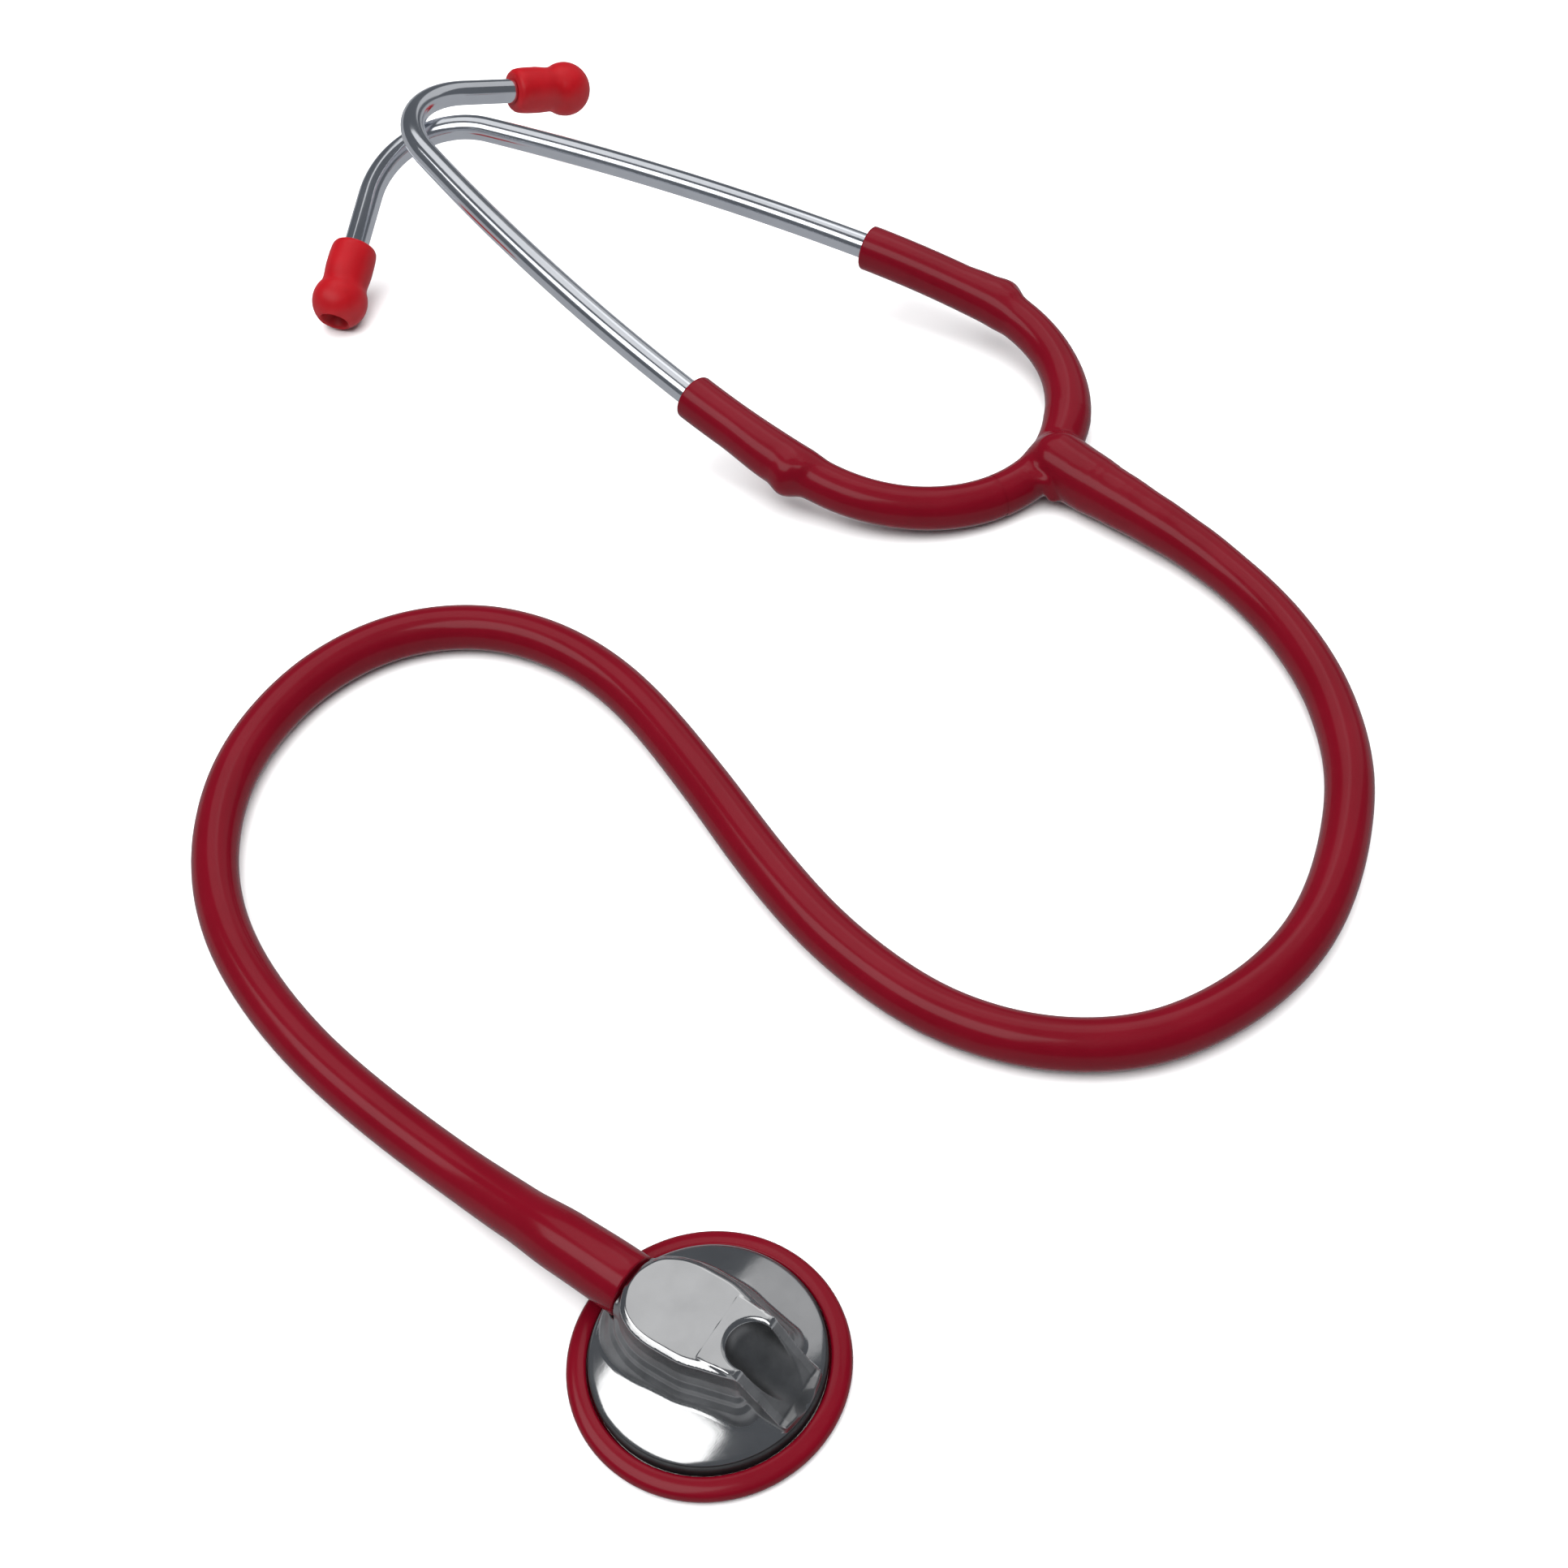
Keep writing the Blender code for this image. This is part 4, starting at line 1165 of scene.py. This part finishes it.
def head_field():
    """The steel head above the dome's edge. Each blend's last number is its width."""
    plateau_distance = outline_table(shield_outline())
    centre = np.array(CHEST)

    def field(points):
        x, y, z = (points - centre).T
        r = np.hypot(x, y)
        drop = HEAD_TOP - z
        turned_x, turned_y = shield_frame(x, y)

        # a skin just under the dome, so that the flank flows out into it
        sunk = dome_height(r) - DOME_SUNK
        base = soft_max(r - HEAD_EDGE_R + DOME_INSET, (z - sunk) * 0.93, 0.0002)
        base = np.maximum(base, BOSS_FLOOR_Z - z)

        # plateau with a bevel all round, on a hollow flank with two steps
        flat = plateau_distance(turned_x, turned_y)
        wall = flat - np.interp(drop, FLANK_DROPS, FLANK_REACHES)
        bevel = bevel_field(flat + SHIELD_BEVEL, drop, 0.6, 0.857)
        boss = soft_max(soft_max(-drop, bevel, 0.00012), wall, 0.00015)
        boss = np.maximum(boss, BOSS_FLOOR_Z - z)

        # collar round the bore, up to the hose
        axis_gap = np.hypot(x, z - STEM_Z)
        collar = soft_max(axis_gap - COLLAR_R, COLLAR_DROP - drop, 0.0006)
        collar_ends = np.maximum(y - HOSE_FACE_Y, COLLAR_START_Y - y)
        collar = soft_max(collar, collar_ends, 0.0002)
        boss = soft_min(boss, collar, 0.0008)

        # all of it inside the dome's edge, with the groove cut and its lip bevelled
        top = soft_min(boss, walls_field(turned_x, turned_y, z, drop), 0.0004)
        top = soft_max(top, r - HEAD_EDGE_R + 0.0001, 0.0003)
        body = soft_min(base, top, 0.0009)
        body = soft_max(body, -groove_field(turned_x, turned_y, drop), 0.0002)
        inward = GROOVE_BEVEL - notch_distance(turned_x, turned_y)
        body = soft_max(body, bevel_field(inward, drop, 0.7, 0.82), 0.0001)

        # flat face and bore for the hose and its stem
        face = np.maximum(axis_gap - HOSE_FACE_R, HOSE_FACE_Y - y)
        body = soft_max(body, -face, 0.0003)
        bore = np.maximum(axis_gap - STEM_BORE_R, STEM_BORE_END_Y - y)
        body = np.maximum(body, -bore)

        # sound hole
        hole = np.maximum(r - SOUND_HOLE_R, z - STEM_Z)
        return np.maximum(body, -hole)

    return field


def paint_recess_shade(obj):
    """Gives the hollow flank and the groove a rougher steel whose darker tones are painted
    shade in these recesses.
    """
    obj.data.materials.append(FLANK_SHADE_STEEL)
    obj.data.materials.append(GROOVE_SHADE_STEEL)
    count = len(obj.data.polygons)
    centres = np.empty(count * 3)
    obj.data.polygons.foreach_get("center", centres)
    x, y, z = (centres.reshape(-1, 3) - np.array(CHEST)).T
    drop = HEAD_TOP - z
    turned_x, turned_y = shield_frame(x, y)
    flat = outline_table(shield_outline())(turned_x, turned_y)
    flank = (flat > -0.0001) & (z - dome_height(np.hypot(x, y)) > 0.0002)
    flank = flank & (drop > 0.0008)
    notch = notch_distance(turned_x, turned_y)
    groove = (notch < 0.0001) & (turned_y < 0.0) & (drop > 0.0005)
    # slots 1 and 2 carry the painted shade of the flank and the groove
    slots = np.where(groove, 2, np.where(flank, 1, 0))
    slots[z < HEAD_EDGE_Z + 0.0003] = 0
    obj.data.polygons.foreach_set("material_index", slots.astype(np.int32))


def dome_height(r):
    return HEAD_EDGE_Z + DOME_LIP + (HEAD_EDGE_R**2 - r**2) / DOME_RISE


def cut_away(obj, cutter):
    """Cuts one closed mesh out of another and keeps the result as plain faces."""
    cutting = obj.modifiers.new("cut", "BOOLEAN")
    cutting.operation = "DIFFERENCE"
    cutting.solver = "EXACT"
    cutting.object = cutter
    graph = bpy.context.evaluated_depsgraph_get()
    mesh = bpy.data.meshes.new_from_object(obj.evaluated_get(graph))
    obj.modifiers.clear()
    obj.data = mesh
    bpy.data.objects.remove(cutter)
    mesh.shade_smooth()
    mesh.set_sharp_from_angle(angle=math.radians(SHARP_ANGLE))


def make_dome():
    """The head's turned underside, skirt and dome, cut flat where the hose meets it."""
    profile = [
        (HEAD_BOTTOM, CUP_R), (HEAD_BOTTOM, HEAD_SKIRT_R),
        (HEAD_EDGE_Z, HEAD_SKIRT_R), (HEAD_EDGE_Z, HEAD_EDGE_R - 0.0001),
        (HEAD_EDGE_Z + 0.0001, HEAD_EDGE_R),
        (HEAD_EDGE_Z + DOME_LIP - 0.0001, HEAD_EDGE_R),
        (HEAD_EDGE_Z + DOME_LIP + 0.0001, HEAD_EDGE_R - 0.00025),
    ]
    rings = 24
    for i in range(1, rings + 1):
        r = HEAD_EDGE_R - (HEAD_EDGE_R - SOUND_HOLE_R) * i / rings
        profile.append((dome_height(r), r))
    profile += [(0.0042, SOUND_HOLE_R), (0.0034, 0.0050)]
    dome = turned("dome_skin", profile, CHEST, UP, 192, POLISHED)
    profile = [(HOSE_FACE_Y, HOSE_FACE_R), (0.0300, HOSE_FACE_R)]
    cutter = turned("hose_face", profile, STEM_BASE, ALONG_Y, 64, POLISHED, False)
    cut_away(dome, cutter)
    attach(dome, "chestpiece")


def make_boss():
    """The head's plateau, flank, collar and groove, which stand on the dome."""
    low = np.array(CHEST) + np.array(BOSS_BOX_LOW)
    high = np.array(CHEST) + np.array(BOSS_BOX_HIGH)
    step = BOSS_STEP
    obj = surface_of("head_skin", head_field(), low, high, step, POLISHED, 40.0)
    paint_recess_shade(obj)
    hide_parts("chestpiece_head")
    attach(obj, "chestpiece")


def make_round_parts():
    """Seal, diaphragm, rim and stem, from profiles of (along, radius)."""
    # the near-black seal is painted shade: a dark ring placed in the shadowed gap between
    # the rim and the head
    inner = HEAD_SKIRT_R + GAP
    outline = [(SEAL_LOW, inner), (SEAL_LOW, SEAL_R), (SEAL_HIGH, SEAL_R)]
    outline += [(SEAL_HIGH, inner)]
    seal = turned("seal_skin", rounded(outline, 0.0005), CHEST, UP, 128, SEAL_SHADE_RUBBER)
    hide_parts("seal_ring")
    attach(seal, "chestpiece")

    disc = [
        (0.0012, 0.0002), (0.00118, 0.012), (0.0012, DIAPHRAGM_R - 0.0001),
        (0.0013, DIAPHRAGM_R), (0.0015, DIAPHRAGM_R),
        (0.0016, DIAPHRAGM_R - 0.0001), (0.0016, 0.012), (0.0016, 0.0002),
    ]
    sheet = turned("diaphragm_skin", disc, CHEST, UP, 96, EPOXY, False)
    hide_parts("diaphragm")
    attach(sheet, "rim")

    profile = [
        (0.0000, RIM_LIP_R), (0.0000, 0.0217), (0.0002, 0.0225),
        (0.0007, 0.0231), (0.0014, 0.02335), (0.0021, RIM_R - 0.0001),
        (0.0027, 0.0230), (0.0031, 0.0224), (0.0034, 0.0215),
        (RIM_TOP, 0.0206), (0.0034, 0.0201), (0.0031, RIM_INNER_R),
        (0.0011, RIM_INNER_R), (0.0009, RIM_INNER_R - 0.0002),
        (0.0009, RIM_LIP_R + 0.0002), (0.0007, RIM_LIP_R),
    ]
    profile = rounded(profile, 0.0003, 2)
    rim = turned("rim_skin", profile, CHEST, UP, 160, PVC, True, 60.0)
    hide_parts("diaphragm_rim")
    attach(rim, "rim")

    profile = [
        (-0.0022, STEM_R), (0.0165, STEM_R), (0.0180, 0.0026), (0.0210, STEM_R),
        (0.0212, 0.0026), (0.0240, 0.0029), (0.0242, 0.0025), (0.0265, 0.0024),
        (0.0265, 0.0016), (-0.0022, 0.0016),
    ]
    stem = turned("stem_skin", profile, STEM_BASE, ALONG_Y, 48, TURNED)
    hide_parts("chestpiece_stem")
    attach(stem, "chestpiece")


make_dome()
make_boss()
make_round_parts()


# ---- floor and light ----
FLOOR_HALF = 3.0
FLOOR_DROP = 0.00005


def floor_material():
    made, _, shader, _ = clouded_material("pale_floor", FLOOR_TONES, (3.0, 2.0))
    shader.inputs["Roughness"].default_value = 0.6
    shader.inputs["Specular IOR Level"].default_value = 0.2
    return made


def make_floor():
    corners = [(-1, -1), (1, -1), (1, 1), (-1, 1)]
    corners = [(x * FLOOR_HALF, y * FLOOR_HALF, -FLOOR_DROP) for x, y in corners]
    mesh = bpy.data.meshes.new("floor")
    mesh.from_pydata(corners, [], [(0, 1, 2, 3)])
    mesh.materials.append(floor_material())
    obj = new_object("floor", mesh)
    obj.visible_glossy = False


def area_light(name, place, target, size_x, size_y, power):
    data = bpy.data.lights.new(name, "AREA")
    data.shape = "RECTANGLE"
    data.size = size_x
    data.size_y = size_y
    data.energy = power
    obj = new_object(name, data)
    obj.location = place
    look = Vector(target) - Vector(place)
    obj.rotation_euler = look.to_track_quat("-Z", "Y").to_euler()
    return obj


# what shiny surfaces mirror: the dim studio above, and the soft bounce off the floor
SKY = (0.109, 0.117, 0.130)
FLOOR_BOUNCE = (0.37, 0.38, 0.40)
HORIZON_BLEND = 0.06


def make_world():
    world = bpy.data.worlds.new("studio")
    bpy.context.scene.world = world
    world.use_nodes = True
    tree = world.node_tree
    where = tree.nodes.new("ShaderNodeTexCoord")
    split = tree.nodes.new("ShaderNodeSeparateXYZ")
    tree.links.new(where.outputs["Generated"], split.inputs["Vector"])
    height = split.outputs["Z"]
    colour = ramp(tree, height, (*FLOOR_BOUNCE, 1), (*SKY, 1), 0.0, HORIZON_BLEND)
    back = tree.nodes["Background"]
    tree.links.new(colour, back.inputs["Color"])
    back.inputs["Strength"].default_value = 1.0


make_floor()
make_world()
area_light("left_softbox", (-0.72, 0.40, 1.0), (-0.72, 0.40, 0.0), 0.84, 1.45, 7.2)
area_light("back_panel", (0.55, 0.62, 1.35), (-0.05, -0.05, 0.0), 1.1, 1.1, 2.6)
area_light("right_panel", (1.19, 0.0, 0.92), (-0.10, -0.10, 0.0), 1.2, 1.2, 1.8)
fill = area_light("diffuse_fill", (0.0, 0.0, 1.6), (0, 0, 0), 2.4, 2.4, 76.0)
fill.visible_glossy = False
bpy.context.scene.view_settings.view_transform = "Standard"
